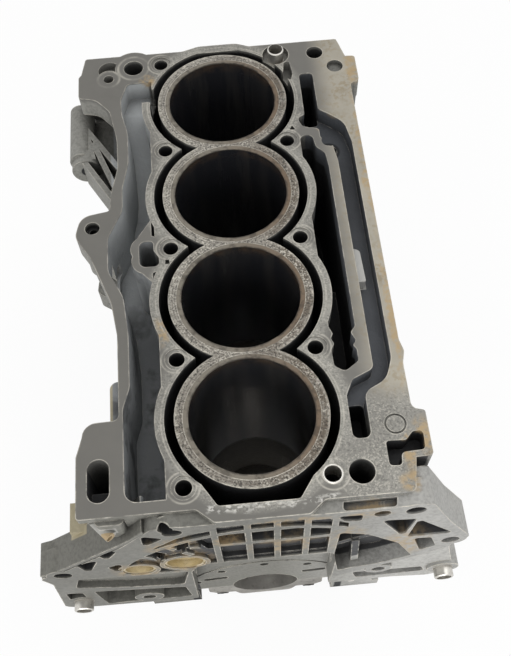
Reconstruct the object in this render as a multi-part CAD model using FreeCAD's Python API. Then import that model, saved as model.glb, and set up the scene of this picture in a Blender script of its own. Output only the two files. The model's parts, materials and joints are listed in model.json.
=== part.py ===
import FreeCAD, Part
import math
import os

# Open-deck die-cast block of a small inline four, in millimetres.
# X runs across the engine, +Y towards the timing end, +Z up to the head face.
# The origin is on the crankshaft axis, in the middle of the third main bearing.

Vec = FreeCAD.Vector

# ---- cylinders and head face
bore = 74.5
pitch = 82.0                 # from one cylinder to the next
cylinders = 4
deckHeight = 208.0           # crankshaft axis to head face
boreLength = 120.0
linerWall = 3.0
barrelWall = 5.25            # aluminium round each liner
jacketWidth = 5.8
jacketDepth = 92.0
boltWall = 5.7               # wall between the jacket and the side channels
headBoltX = 42.0
headBoltHole = 9.8
headBoltDepth = 90.0
headBoltRelief = 14.4        # shallow spot face round each bolt hole
deckDowelOuter = 12.0
deckDowelInner = 10.0
deckDowelLength = 14.0
deckDowelProud = 5.0
deckDowelWell = 19.0         # open counterbore round the front deck dowel
deckDowelWellDepth = 4.0

# ---- body
deckPlate = 15.0             # thickness of the lugs that stand out from the body
nearDeck = 13.5              # head face past the last bolt row, gearbox end
farDeck = 11.5               # head face past the first bolt row, timing end
bulge = 8.5                  # end wall of the jacket past the head face edge
latticeFloor = 3.5           # the same wall under the arch, behind the lattice ribs
upperBodyDrop = 138.0        # head face to the shoulder of the crankcase
channelDepth = 52.0          # long oil return channel on the left
channelFarDepth = 15.0       # where its floor rises at the timing end
ventDepth = 12.0             # shallow groove on the right
returnDepth = 96.0           # deep pocket on the right
returnShelfDepth = 60.0

# ---- crankcase
bayRadius = 70.0             # clearance for the crank throws
crankcaseWall = 7.0
railDepth = 40.0             # crankshaft axis down to the oil pan rail
railWidth = 14.0
railThickness = 11.0
bulkhead = 20.0
sealFace = 7.0               # rear face past the last bolt row

# ---- main bearings
housingBore = 50.0
capHalfWidth = 45.0
skirtGap = 53.0              # half the opening between the webs beside each cap
capDepth = 33.0
capPadDepth = 23.0
capBoltX = 35.0
capBoltShank = 9.5
capBoltClearance = 0.5
capBoltReach = 46.0          # into the bulkhead
capBoltHead = 15.0           # across flats
capBoltHeadHeight = 8.0
capFlange = 19.0
capRegister = 4.0            # how far the caps sit up into the bulkheads

# ---- gearbox flange
flangeProud = 22.0           # flange face past the last bolt row
flangeDepth = 23.0
flangeRib = 4.0
sideRib = 5.0
flangeTop = 3.0              # top edge of the flange, below the head face
archRadius = 98.5
archDrop = 22.0              # head face to the crown of the arch
archStep = 2.5               # the cast floor inside the arch, behind the machined face
latticeDepth = 6.0           # pockets between the lattice ribs
pocketDepth = 15.0           # the large pockets of the flange
panelDepth = 5.0             # the flat panels low on the flange
gearboxDowelOuter = 14.0
gearboxDowelInner = 10.4
gearboxDowelLength = 16.0
gearboxDowelProud = 7.0
dowelEase = 0.2                       # the end that stands out is slimmer by this
dowelChamfer = 0.6
gearboxBolt = 11.6
gearboxUpper = (18.0, 69.0, 12.0)     # middle of the pair, half its spacing, drop
gearboxSides = (-4.5, 123.5, 80.0)
sealRing = 62.0

# ---- small pieces
pinDiameter = 5.0
pinLength = 14.0
pinProud = 7.0
sealPinX = 66.0
sealPinZ = 6.0
plugLarge = 26.0
plugSmall = 21.0
plugDepth = 6.0
plugWall = 1.5
jetBody = 10.0
jetPipe = 3.4

# ---- worked out from the sizes above
barrelRadius = bore / 2 + linerWall + barrelWall
jacketRadius = barrelRadius + jacketWidth
wallRadius = jacketRadius + boltWall
rows = [(cylinders / 2 - k) * pitch for k in range(cylinders + 1)]
boreCentres = [(rows[k] + rows[k + 1]) / 2 for k in range(cylinders)]
nearY = rows[-1] - nearDeck
farY = rows[0] + farDeck
flangeY = rows[-1] - flangeProud
flangeBackY = flangeY + flangeDepth
sealY = rows[-1] - sealFace
shoulder = deckHeight - upperBodyDrop
boreBottom = deckHeight - boreLength
railZ = -railDepth
plugMouth = flangeY + 0.8


def left(offset):
    """An X place on the left, measured out from the bolt wall."""
    return -wallRadius - offset


def right(offset):
    """An X place on the right, measured out from the bolt wall."""
    return wallRadius + offset


def below(drop):
    """A height measured down from the head face."""
    return deckHeight - drop


# ---- shape helpers

def roundedWire(corners, place):
    """A closed wire through corners (u, v, radius); place turns u, v into a point."""
    edges = []
    starts, ends = [], []
    count = len(corners)
    for i in range(count):
        u, v, radius = corners[i]
        here = Vec(u, v, 0)
        before = Vec(*corners[i - 1][:2], 0)
        after = Vec(*corners[(i + 1) % count][:2], 0)
        a = (before - here).normalize()
        b = (after - here).normalize()
        cosine = max(-1.0, min(1.0, a.dot(b)))
        half = math.acos(cosine) / 2
        reach = radius / math.tan(half) if radius > 0 else 0.0
        longest = 0.48 * min((before - here).Length, (after - here).Length)
        if reach < 0.01 or half > math.radians(89.7):
            starts.append(here)
            ends.append(here)
            continue
        reach = min(reach, longest)
        radius = reach * math.tan(half)
        p, q = here + a * reach, here + b * reach
        centre = here + (a + b).normalize() * (radius / math.sin(half))
        middle = centre + (here - centre).normalize() * radius
        starts.append(p)
        ends.append(q)
        edges.append((i, p, middle, q))
    arcs = {i: (p, middle, q) for i, p, middle, q in edges}
    made = []
    for i in range(count):
        if i in arcs:
            p, middle, q = arcs[i]
            points = [place(*w[:2]) for w in (p, middle, q)]
            made.append(Part.Arc(*points).toShape())
        nxt = starts[(i + 1) % count]
        if (nxt - ends[i]).Length > 1e-6:
            made.append(Part.makeLine(place(*ends[i][:2]), place(*nxt[:2])))
    return Part.Wire(Part.__sortEdges__(made))


def plan(corners, z0, z1):
    """A solid with a plan-view outline, from height z0 to z1."""
    wire = roundedWire(corners, lambda u, v: Vec(u, v, z0))
    return Part.Face(wire).extrude(Vec(0, 0, z1 - z0))


def elevation(corners, y0, y1):
    """A solid with an outline seen from the end, corners as (x, z, radius)."""
    wire = roundedWire(corners, lambda u, v: Vec(u, y0, v))
    return Part.Face(wire).extrude(Vec(0, y1 - y0, 0))


def side(corners, x0, x1):
    """A solid with an outline seen from the side, corners as (y, z, radius)."""
    wire = roundedWire(corners, lambda u, v: Vec(x0, u, v))
    return Part.Face(wire).extrude(Vec(x1 - x0, 0, 0))


def box(x0, x1, y0, y1, z0, z1):
    return Part.makeBox(x1 - x0, y1 - y0, z1 - z0, Vec(x0, y0, z0))


def post(x, y, z0, z1, radius):
    """A vertical cylinder."""
    return Part.makeCylinder(radius, z1 - z0, Vec(x, y, z0))


def lying(x, z, y0, y1, radius):
    """A cylinder along the crankshaft."""
    return Part.makeCylinder(radius, y1 - y0, Vec(x, y0, z), Vec(0, 1, 0))


def across(y, z, x0, x1, radius):
    """A cylinder across the engine."""
    return Part.makeCylinder(radius, x1 - x0, Vec(x0, y, z), Vec(1, 0, 0))


def join(shapes):
    return shapes[0].multiFuse(shapes[1:]) if len(shapes) > 1 else shapes[0]


def cornersOf(points, radius):
    return [(u, v, radius) for u, v in points]


def ribBar(u0, v0, u1, v1, width):
    """The four corners of a straight rib from one point to another."""
    length = math.hypot(u1 - u0, v1 - v0)
    a, b = (u1 - u0) / length, (v1 - v0) / length
    w = width / 2
    return [(u0 - b * w, v0 + a * w, 0), (u1 - b * w, v1 + a * w, 0),
            (u1 + b * w, v1 - a * w, 0), (u0 + b * w, v0 - a * w, 0)]


# ---- the upper body and its head face

def leftWall():
    """Outer edge of the wavy left wall, from the timing end to the gearbox end."""
    return [
        (left(23.0), rows[1] + 40.0, 10), (left(18.3), rows[1] + 14.0, 40),
        (left(18.0), rows[1] - 12.0, 25), (left(22.7), rows[1] - 32.0, 30),
        (left(23.7), rows[2] + 37.0, 5),
    ]


def leftWallLower():
    return [
        (left(24.0), rows[2] - 38.0, 20), (left(20.5), rows[3] + 20.0, 30),
    ]


def farEdge():
    """Timing end of the head face, from right to left."""
    return [
        (right(31.0), farY - 1.5, 1.5), (24.0, farY - 0.8, 10), (14.0, farY + 3.5, 14),
        (-14.0, farY + 3.5, 14), (-26.0, farY - 0.3, 10),
    ]


def nearEdge(depth):
    """Gearbox end from left to right, with the jacket's end wall standing out by depth."""
    return [
        (-36.0, nearY, 4), (-26.0, nearY - depth, 4), (27.0, nearY - depth, 4),
        (36.0, nearY - 1.0, 4),
    ]


def deckOutline():
    ear = [(left(24.5), rows[2] + 34.0, 5), (left(43.0), rows[2] + 31.0, 10),
           (left(47.0), rows[2] + 15.0, 10), (left(37.0), rows[2] - 2.0, 12)]
    nearLeft = [(left(20.5), rows[4] + 45.0, 4), (left(42.0), rows[4] + 44.5, 9),
                (left(42.0), rows[4] + 27.0, 3), (left(45.5), rows[4] + 25.0, 2),
                (left(45.5), nearY, 2)]
    nearRight = [(right(29.5), nearY - 1.0, 3), (right(29.5), rows[4] + 5.5, 3),
                 (right(43.0), rows[4] + 6.0, 2), (right(43.0), rows[4] + 34.0, 2),
                 (right(35.5), rows[4] + 36.0, 5), (right(35.5), rows[3] - 16.0, 8),
                 (right(37.5), rows[3] - 8.0, 5), (right(35.5), rows[3], 8)]
    farRight = [(right(35.5), rows[0] - 34.0, 3), (right(42.0), rows[0] - 32.0, 4),
                (right(42.0), rows[0] - 7.5, 2), (right(31.5), rows[0] - 6.5, 3)]
    farLeft = [(left(40.0), farY, 2), (left(43.0), rows[0] - 4.0, 1),
               (left(45.0), rows[0] - 7.0, 1), (left(45.0), rows[0] - 27.0, 3),
               (left(33.0), rows[0] - 29.5, 12)]
    return (farLeft + leftWall() + ear + leftWallLower() + nearLeft + nearEdge(bulge)
            + nearRight + farRight + farEdge())


def coreOutline(depth):
    """The deep body under the head face, without its lugs."""
    return ([(left(23.0), farY, 2)] + leftWall() + leftWallLower()
            + [(left(20.5), nearY, 2)] + nearEdge(depth)
            + [(right(29.5), nearY - 1.0, 3), (right(35.5), rows[4] + 20.0, 6),
               (right(35.5), rows[0] - 8.0, 6)] + farEdge())


def upperBody():
    core = plan(coreOutline(latticeFloor), shoulder, deckHeight)
    deck = plan(deckOutline(), below(deckPlate), deckHeight)
    thermostatBoss = post(left(5.0), rows[0] - 1.5, below(70), deckHeight, 16.0)
    slotBlock = plan([(left(15), rows[4] + 45.0, 2), (left(40.0), rows[4] + 43.0, 9),
                      (left(45.5), rows[4] + 24.0, 3), (left(45.5), nearY, 2),
                      (left(15), nearY, 2)], below(78), deckHeight)
    underside = side([(nearY - 2, below(2), 0), (flangeBackY, below(34), 4),
                      (flangeBackY, below(80), 0), (nearY - 2, below(80), 0)],
                     left(60), left(20.6))
    overhang = join([deck, slotBlock]).cut(underside)
    nearLug = plan([(right(30), rows[4] + 6.0, 2), (right(43.0), rows[4] + 6.0, 2),
                    (right(43.0), rows[4] + 34.0, 2), (right(30), rows[4] + 38.0, 4)],
                   below(40), deckHeight)
    farLug = plan([(right(30), rows[0] - 33.0, 3), (right(41.0), rows[0] - 33.5, 3),
                   (right(42.0), rows[0] - 7.5, 2), (right(30), rows[0] - 6.5, 2)],
                  below(46), deckHeight)
    sideBoss = plan([(left(12), rows[3] - 7.0, 2), (left(27.0), rows[3] - 7.0, 5),
                     (left(27.0), rows[3] - 37.0, 5), (left(12), rows[3] - 37.0, 2)],
                    below(70), below(9))
    earBoss = post(left(35.5), rows[2] + 21.0, below(42), deckHeight, 9.3)
    earWeb = plan([(left(15), rows[2] + 33.0, 2), (left(36.0), rows[2] + 29.0, 3),
                   (left(36.0), rows[2] + 13.0, 3), (left(15), rows[2] - 10.0, 2)],
                  below(34), deckHeight)
    return join([core, overhang, thermostatBoss, nearLug, farLug, sideBoss, earBoss,
                 earWeb])


# ---- what is cut into the head face

def waterJacket():
    floor = below(jacketDepth)
    outer = [post(0, y, floor, deckHeight + 1, jacketRadius) for y in boreCentres]
    inner = [post(0, y, floor - 1, deckHeight + 2, barrelRadius) for y in boreCentres]
    nearEnd = plan([(-36.5, rows[4] + 8.0, 2), (-23.5, nearY + 1.0, 3),
                    (22.5, nearY + 1.0, 3), (36.5, rows[4] + 8.0, 2),
                    (20.0, rows[4] + 20.0, 0), (-20.0, rows[4] + 20.0, 0)],
                   floor, deckHeight + 1)
    slot = join(outer + [nearEnd]).cut(join(inner))
    farSide = box(-60, 60, rows[0] + 8.0, farY + 20, floor - 2, deckHeight + 3)
    opening = plan([(left(-4.0), rows[0] - 36.0, 1.5), (left(-4.0), rows[0] - 22.0, 1.5),
                    (-jacketRadius + 6, rows[0] - 25.0, 1), (-jacketRadius + 3, rows[0] - 37, 1)],
                   below(16), deckHeight + 1)
    return slot.cut(farSide).fuse(opening)


def channelOutline():
    """Plan of the long channel between the bolt wall and the wavy left wall."""
    return [
        (left(-3.5), rows[0] - 16.5, 3), (left(10.0), rows[0] - 17.0, 4),
        (left(14.8), rows[0] - 32.0, 12), (left(14.2), rows[1] + 36.0, 20),
        (left(10.6), rows[1] + 19.0, 30), (left(10.6), rows[1] - 8.0, 25),
        (left(15.2), rows[1] - 30.0, 25), (left(15.2), rows[2] + 34.0, 20),
        (left(25.5), rows[2] + 12.0, 14), (left(25.5), rows[2] - 14.0, 14),
        (left(16.2), rows[2] - 34.0, 20), (left(13.6), rows[3] + 20.0, 30),
        (left(13.6), rows[3] - 16.0, 12), (left(18.0), rows[3] - 30.0, 12),
        (left(18.0), rows[4] - 6.0, 7), (left(-7.5), rows[4] - 6.0, 2),
        (left(-7.5), rows[0] - 16.5, 0),
    ]


def leftChannel():
    """Long oil return channel, with a floor that rises towards the timing end."""
    deep = below(channelDepth)
    hollow = plan(channelOutline(), deep, deckHeight + 1)
    ramp = side([(rows[1] - 20.0, deep - 1, 0), (rows[1] + 50.0, below(channelFarDepth), 6),
                 (farY + 5, below(channelFarDepth), 0), (farY + 5, deep - 1, 0)],
                left(40), left(-20))
    wall = [post(0, y, deep - 1, deckHeight + 2, wallRadius) for y in boreCentres]
    wall.append(box(left(-5.0), 0, rows[4] - 30, rows[1] + 18.0, deep - 1, deckHeight + 2))
    wall.append(post(left(0.5), rows[2] + 1.0, deep - 1, deckHeight + 2, 10.5))
    wall.append(post(left(0.0), rows[2] - 8.0, deep - 1, deckHeight + 2, 10.5))
    wall.append(plan([(left(-3), rows[2] + 24, 0), (left(7.0), rows[2] + 9.0, 6),
                      (left(7.0), rows[2] - 14.0, 6), (left(-3), rows[2] - 26.0, 0)],
                     deep - 1, deckHeight + 2))
    wall.append(post(-headBoltX, rows[4], deep - 1, deckHeight + 2, 9.6))
    farGap = box(left(6.0), left(-12.0), rows[0] - 36.0, farY, deep - 2, deckHeight + 3)
    return hollow.cut(join(wall).cut(farGap)).cut(ramp)


def ventGroove():
    """Shallow groove on the right with a slot at each end."""
    outline = [
        (right(-0.2), rows[0] - 21.0, 3), (right(9.5), rows[0] - 21.0, 3),
        (right(9.5), rows[1] + 26.0, 3), (right(16.0), rows[1] + 21.0, 10),
        (right(26.0), rows[1] + 12.0, 14), (right(29.0), rows[1] - 6.0, 14),
        (right(29.0), rows[3] - 12.0, 16), (right(24.0), rows[3] - 26.0, 14),
        (right(10.0), rows[3] - 33.0, 8), (right(9.8), rows[4] + 20.0, 4),
        (right(-0.8), rows[4] + 20.0, 4), (right(-0.8), rows[3] - 34.0, 6),
        (right(4.0), rows[3] - 24.0, 6), (right(17.5), rows[3] - 18.0, 5),
        (right(17.5), rows[1] - 22.0, 8), (right(15.5), rows[1] - 7.0, 4),
        (right(8.0), rows[1], 4), (right(8.0), rows[1] + 8.0, 3),
        (right(-3.0), rows[1] + 11.0, 5), (right(-6.0), rows[1] + 19.0, 4),
        (right(-0.5), rows[1] + 22.0, 2),
    ]
    groove = plan(outline, below(ventDepth), deckHeight + 1)
    farSlot = plan([(right(-0.2), rows[0] - 21.0, 3), (right(9.5), rows[0] - 21.0, 3),
                    (right(9.5), rows[1] + 21.0, 3), (right(-0.2), rows[1] + 21.0, 3)],
                   below(70), deckHeight)
    nearSlot = plan([(right(-0.8), rows[4] + 46.0, 3), (right(9.8), rows[4] + 46.0, 3),
                     (right(9.8), rows[4] + 20.0, 4), (right(-0.8), rows[4] + 20.0, 4)],
                    below(34), deckHeight)
    halfHole = post(right(2.5), rows[1] + 14.0, below(60), deckHeight, 4.6)
    roundHole = post(right(14.0), rows[1] - 3.0, below(60), deckHeight, 5.6)
    patch = plan([(right(17.0), rows[2] - 10.0, 1), (right(22.0), rows[2] - 12.0, 3),
                  (right(22.8), rows[2] - 36.0, 1), (right(17.0), rows[2] - 36.0, 1)],
                 below(ventDepth), below(4))
    return join([groove, farSlot, nearSlot, halfHole, roundHole]).cut(patch)


def oilReturn():
    """Deep pocket on the right, between the bolt wall and the thin middle wall."""
    outline = [
        (right(-6.0), rows[1] + 3.0, 4), (right(2.5), rows[1] + 3.0, 4),
        (right(4.0), rows[1] - 8.0, 6), (right(9.5), rows[1] - 14.0, 4),
        (right(10.6), rows[1] - 26.0, 6), (right(10.6), rows[3] + 12.0, 3),
        (right(7.4), rows[3] + 8.0, 2), (right(9.8), rows[3] + 2.0, 2),
        (right(7.6), rows[3] - 1.0, 1.5), (right(9.4), rows[3] - 4.0, 2),
        (right(9.4), rows[3] - 12.0, 3), (right(0.5), rows[3] - 18.5, 4),
        (right(-5.5), rows[3] - 14.0, 4), (right(-5.8), rows[3] - 3.0, 2),
        (right(-3.6), rows[3] + 1.0, 1.5), (right(-5.2), rows[3] + 5.0, 1.5),
        (right(-3.6), rows[3] + 8.0, 1.5), (right(-5.5), rows[3] + 13.0, 2),
    ]
    pocket = plan(outline, below(returnDepth), deckHeight + 1)
    shelf = box(right(-20), right(20), rows[4] + 20, rows[2] - 6.0,
                below(returnDepth) - 1, below(returnShelfDepth))
    wall = [post(0, y, below(returnDepth) - 2, deckHeight + 2, wallRadius)
            for y in boreCentres[1:3]]
    return pocket.cut(join([shelf] + wall))


def shapedPockets():
    """Small hollows of the head face and of its lugs."""
    bean = plan([(left(-4.0), rows[2] + 6.8, 3), (left(5.4), rows[2] + 6.8, 4.5),
                 (left(5.4), rows[2] - 13.2, 4.5), (left(-7.2), rows[2] - 13.2, 4),
                 (left(-7.2), rows[2] - 6.5, 3), (left(-4.0), rows[2] - 1.0, 4)],
                below(80), deckHeight + 1)
    oblong = join([
        post(left(32.8), rows[4] + 15.2, below(60), deckHeight + 1, 6.3),
        post(left(32.8), rows[4] + 1.8, below(14), deckHeight + 1, 6.3),
        box(left(39.1), left(26.5), rows[4] + 1.8, rows[4] + 15.2, below(14),
            deckHeight + 1),
        box(left(39.1), left(26.5), rows[4] + 6.0, rows[4] + 15.2, below(60),
            deckHeight + 1)])
    stepped = plan([(right(17.3), rows[4] + 17.0, 2), (right(29.0), rows[4] + 16.5, 3),
                    (right(33.5), rows[4] + 21.5, 3), (right(39.5), rows[4] + 21.5, 2.5),
                    (right(39.0), rows[4] + 9.8, 2.5), (right(25.2), rows[4] + 9.2, 3),
                    (right(24.4), rows[4] + 1.4, 2.2), (right(17.3), rows[4] + 1.8, 2.2)],
                   below(14), deckHeight + 1)
    crescent = post(left(22.5), rows[0] - 2.0, below(6), deckHeight + 1, 8.0)
    crescent = crescent.cut(post(left(23.2), rows[0] - 10.5, below(7), deckHeight + 2, 8.6))
    crescent = crescent.cut(post(left(5.0), rows[0] - 1.5, below(7), deckHeight + 2, 13.4))
    rough = plan([(45.5, rows[0] - 20.0, 2), (jacketRadius - 1, rows[0] - 27.0, 1),
                  (52.5, rows[0] - 20.0, 2), (51.0, rows[0] - 7.0, 2), (47.0, rows[0] - 9.0, 1.5)],
                 below(7), deckHeight + 1)
    wedge = plan([(44.6, rows[1] + 9.0, 0.6), (48.8, rows[1] + 9.0, 0.6),
                  (46.7, rows[1] + 13.2, 0.6)], below(3), deckHeight + 1)
    nick = plan([(-46.0, rows[2] - 12.2, 0.5), (-43.0, rows[2] - 12.2, 0.5),
                 (-43.4, rows[2] - 8.8, 0.5), (-45.8, rows[2] - 8.6, 0.5)],
                below(3), deckHeight + 1)
    return [bean, oblong, stepped, crescent, rough, wedge, nick]


def deckHoles():
    holes = []
    for row in range(len(rows)):
        for sign in (-1, 1):
            x, y = sign * headBoltX, rows[row]
            holes.append(post(x, y, below(headBoltDepth), deckHeight + 1, headBoltHole / 2))
            if sign < 0 or row not in (0, len(rows) - 1):
                holes.append(post(x, y, below(0.6), deckHeight + 1, headBoltRelief / 2))
    for y in (rows[0], rows[-1]):
        holes.append(post(headBoltX, y, below(deckDowelSeat(y)), deckHeight + 1,
                          deckDowelOuter / 2))
    holes.append(post(headBoltX, rows[0], below(deckDowelWellDepth), deckHeight + 1,
                      deckDowelWell / 2))
    plain = [(left(5.0), rows[0] - 1.5, 7.0, 65), (left(23.2), rows[0] - 10.5, 3.6, 40),
             (right(13.5), rows[0] - 1.0, 5.9, 60), (right(26.5), rows[0] - 16.0, 5.8, 3.5),
             (right(1.5), rows[-1], 7.5, 36), (left(35.5), rows[2] + 21.0, 4.8, 5),
             (left(35.5), rows[2] + 21.0, 2.6, 24)]
    for x, y, radius, depth in plain:
        holes.append(post(x, y, below(depth), deckHeight + 1, radius))
    ringOuter = post(right(24.5), rows[4] + 27.0, below(0.8), deckHeight + 1, 6.4)
    ringInner = post(right(24.5), rows[4] + 27.0, below(1.8), deckHeight + 2, 5.2)
    holes.append(ringOuter.cut(ringInner))
    return holes


def deckDowelSeat(y):
    """Depth of a deck dowel's seat under the head face."""
    proud = deckDowelProud if y > 0 else 0.4
    return deckDowelLength - proud


# ---- the crankcase

def crankcaseProfile(grow):
    """Half-open outline of the crankcase seen from the end, grown by grow."""
    half = bayRadius + crankcaseWall + grow
    top = shoulder + 12.0
    return [(-half - 4, top, 0), (half + 10, top, 0), (half + 2, shoulder - 26.0, 20),
            (half, 14.0, 20), (half + 9.0, railZ + railThickness, 8),
            (half + 9.0, railZ, 0), (-half - 9.0, railZ, 0),
            (-half - 9.0, railZ + railThickness, 8), (-half, 14.0, 20),
            (-half, shoulder - 26.0, 20)]


def crankcase():
    body = elevation(crankcaseProfile(0), sealY, farY - 3.0)
    half = bayRadius + crankcaseWall + 9.0
    rail = box(-half - 6, half + 6, sealY, farY, railZ, railZ + railThickness)
    ribs = []
    for y in rows[1:-1]:
        ribs.append(elevation([(-half - 6, railZ, 0), (-half + 2, 40, 20),
                               (-half + 4, shoulder + 4, 0), (half + 2, shoulder + 4, 0),
                               (half + 2, 40, 20), (half + 6, railZ, 0)],
                              y - flangeRib / 2, y + flangeRib / 2))
    bosses = [across(y, 28.0, -half - 3.0, half + 5.0, 9.0) for y in boreCentres[1:3]]
    return join([body, rail] + ribs + bosses)


def crankBays():
    """The four bays for the crank throws, open at the bottom."""
    cuts = []
    for y in boreCentres:
        y0, y1 = y - (pitch - bulkhead) / 2, y + (pitch - bulkhead) / 2
        cuts.append(elevation([(-bayRadius, railZ - 1, 0), (-bayRadius, 26.0, 30),
                               (-40.0, 62.0, 24), (40.0, 62.0, 24), (bayRadius, 26.0, 30),
                               (bayRadius, railZ - 1, 0)], y0, y1))
    return cuts


def bearingCuts():
    """Housing bore and cap seats, with room under each bulkhead for its cap."""
    line = lying(0, 0, sealY - 5, farY + 5, housingBore / 2)
    seat = box(-capHalfWidth, capHalfWidth, sealY - 5, farY + 5, railZ - 1, 0)
    relief = box(-skirtGap, skirtGap, sealY - 5, farY + 5, railZ - 1, -capRegister)
    cuts = [line, seat, relief]
    for y in rows:
        for sign in (-1, 1):
            cuts.append(post(sign * capBoltX, bearingY(y), -1, capBoltReach, capBoltShank / 2))
    return cuts


def bearingY(row):
    """Middle of a main bearing: the end ones stay behind the faces of the block."""
    if row == rows[-1]:
        return row + (bulkhead / 2 - sealFace) / 2
    return row


def bearingWidth(row):
    if row == rows[-1]:
        return bulkhead / 2 + sealFace
    return bulkhead


# ---- the timing end

def timingFlange():
    """Rim for the timing cover down both sides of the end wall."""
    half = bayRadius + crankcaseWall + 15.0
    outline = [(left(40.0), deckHeight, 2), (left(43.0), below(24), 6),
               (left(38.0), below(92), 20), (-half, 20.0, 20), (-half, railZ, 0),
               (half, railZ, 0), (half, 20.0, 20), (right(34.0), below(92), 20),
               (right(36.0), below(24), 6), (right(31.0), deckHeight, 2)]
    return elevation(outline, farY - 15.0, farY - 0.5)


def timingRecess():
    """The end wall stands back inside the timing cover rim."""
    half = bayRadius + crankcaseWall
    return elevation([(-62.0, below(14), 8), (-half + 2, below(90), 20), (-half + 2, 6.0, 14),
                      (-36.0, 6.0, 10), (-36.0, 40.0, 20), (36.0, 40.0, 20), (36.0, 6.0, 10),
                      (half - 2, 6.0, 14), (half - 2, below(90), 20), (66.0, below(14), 8)],
                     farY - 1.8, farY + 10)


# ---- the gearbox flange

def flangeOutline():
    """Outline of the gearbox flange, corners as (x, z, radius)."""
    drops = [
        (-62.0, flangeTop, 4), (-83.0, 31.0, 30), (-134.0, 79.0, 6), (-144.0, 83.0, 6),
        (-139.0, 100.0, 8), (-146.0, 166.0, 7), (-124.0, 172.0, 12), (-50.0, 175.0, 2),
        (-48.0, 100.0, 6), (-42.0, 84.0, 4), (44.0, 84.0, 4), (47.0, 100.0, 6),
        (46.0, 177.0, 2), (92.0, 176.0, 12), (120.0, 181.0, 6), (138.0, 171.0, 5),
        (124.0, 108.0, 6), (121.0, 91.0, 5), (131.0, 76.0, 7), (112.0, 40.0, 14),
        (96.0, flangeTop, 4),
    ]
    return [(x, below(drop), radius) for x, drop, radius in drops]


# Pockets of the flange: corners as (x, drop below the head face), with their depth.
flangePockets = [
    ([(-69, 13), (-57, 21), (-70, 34)], latticeDepth),
    ([(-84, 33), (-95, 54), (-99, 42)], pocketDepth),
    ([(-115, 60), (-100, 51), (-111, 80)], pocketDepth),
    ([(-98, 71), (-88, 64), (-92, 87)], pocketDepth),
    ([(-71, 48), (-60, 60), (-64, 75), (-67, 62)], 2 * latticeDepth),
    ([(-54, 47), (-44, 34), (-45, 50), (-54, 58)], latticeDepth),
    ([(-41, 36), (-30, 31), (-30, 70)], latticeDepth),
    ([(69, 25), (90, 28), (86, 62)], pocketDepth),
    ([(91, 29), (118, 64), (89, 64)], pocketDepth),
    ([(94, 69), (105, 70), (111, 90), (102, 99)], pocketDepth),
    ([(46, 42), (64, 51), (85, 76), (98, 109), (77, 123), (58, 128), (50, 133), (45, 90)],
     pocketDepth),
    ([(42, 10), (57, 11), (57, 22), (47, 19)], latticeDepth),
    ([(-121, 93), (-50, 98), (-56, 130), (-90, 125), (-127, 114)], panelDepth),
    ([(-118, 128), (-56, 138), (-54, 167), (-115, 167)], 2 * panelDepth),
    ([(-137, 127), (-126, 129), (-126, 150), (-138, 152)], 2 * panelDepth),
    ([(62, 152), (112, 154), (116, 166), (66, 168)], pocketDepth),
]


def flangeBosses():
    """Bosses and holes of the flange: (x, drop, boss radius, hole radius)."""
    size = gearboxBolt / 2
    found = [(68.0, 12.0, 9.5, size - 1), (-84.0, 158.0, 10.5, size - 1),
             (79.0, 139.0, 9.5, size - 1)]
    for middle, half, drop in (gearboxUpper, gearboxSides):
        found += [(middle - half, drop, 10.5, size), (middle + half, drop, 10.5, size)]
    return found


gearboxDowels = {"left": (-130.0, 153.0), "right": (127.0, 154.0)}
corePlugs = {"large": (-50.0, 77.0, plugLarge), "small": (-80.0, 84.0, plugSmall)}
latticeX = (-28.0, -8.5, 8.5, 26.0, 42.0)


def pocketShape(corners, depth, radius):
    ring = [(x, below(drop), radius) for x, drop in corners]
    return elevation(ring, flangeY - 1, flangeY + depth)


def latticePockets():
    """Openings between the upright ribs, in three rows."""
    pockets = []
    for x0, x1 in zip(latticeX[:-1], latticeX[1:]):
        a, b = x0 + flangeRib / 2, x1 - flangeRib / 2
        sink = archRadius - math.sqrt(archRadius ** 2 - max(abs(a), abs(b)) ** 2)
        top = archDrop + sink + 2.0
        if b < 30:
            pockets.append(([(a, 9), (b, 9), (b, 17.5), (a, 17.5)], latticeDepth))
        pockets.append(([(a, top), (b, top), (b, 43), (a, 43)], latticeDepth))
        pockets.append(([(a, 47), (b, 47), (b, 80), (a, 80)], latticeDepth))
    return pockets


def archRecess():
    """The cast floor inside the arch and above it, a step behind the machined face."""
    front = flangeY - 1
    disc = lying(0, below(archDrop + archRadius), front, flangeY + archStep, archRadius)
    window = elevation([(-76, below(24), 0), (44, below(24), 0), (44, below(82), 0),
                        (-42, below(82), 0), (-46, below(94), 0), (-92, below(92), 0),
                        (-92, below(60), 0)], front - 1, flangeY + archStep + 1)
    inner = disc.common(window)
    outer = elevation([(-46, below(19), 0), (-20, below(12), 0), (38, below(12), 0),
                       (50, below(24), 0), (50, below(40), 0), (-66, below(40), 0)],
                      front, flangeY + archStep)
    outer = outer.cut(lying(0, below(archDrop + archRadius), front - 1,
                            flangeY + archStep + 1, archRadius + flangeRib))
    keep = [box(x - flangeRib / 2, x + flangeRib / 2, front - 1, flangeY + archStep + 1,
                below(84), below(10)) for x in latticeX]
    keep += [box(-44, 46, front - 1, flangeY + archStep + 1, below(47), below(43))]
    keep += [lying(x, below(drop), front - 1, flangeY + archStep + 1, radius)
             for x, drop, radius, hole in flangeBosses()]
    keep += [lying(x, below(drop), flangeY, flangeY + archStep + 1, size / 2 + 3.0)
             for x, drop, size in corePlugs.values()]
    keep += [elevation(ribBar(x0, below(d0), x1, below(d1), flangeRib), front - 1,
                       flangeY + archStep + 1)
             for x0, d0, x1, d1 in ((-58, 38, -44, 60), (-80, 50, -62, 66))]
    return join([inner, outer]).cut(join(keep))


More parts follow.
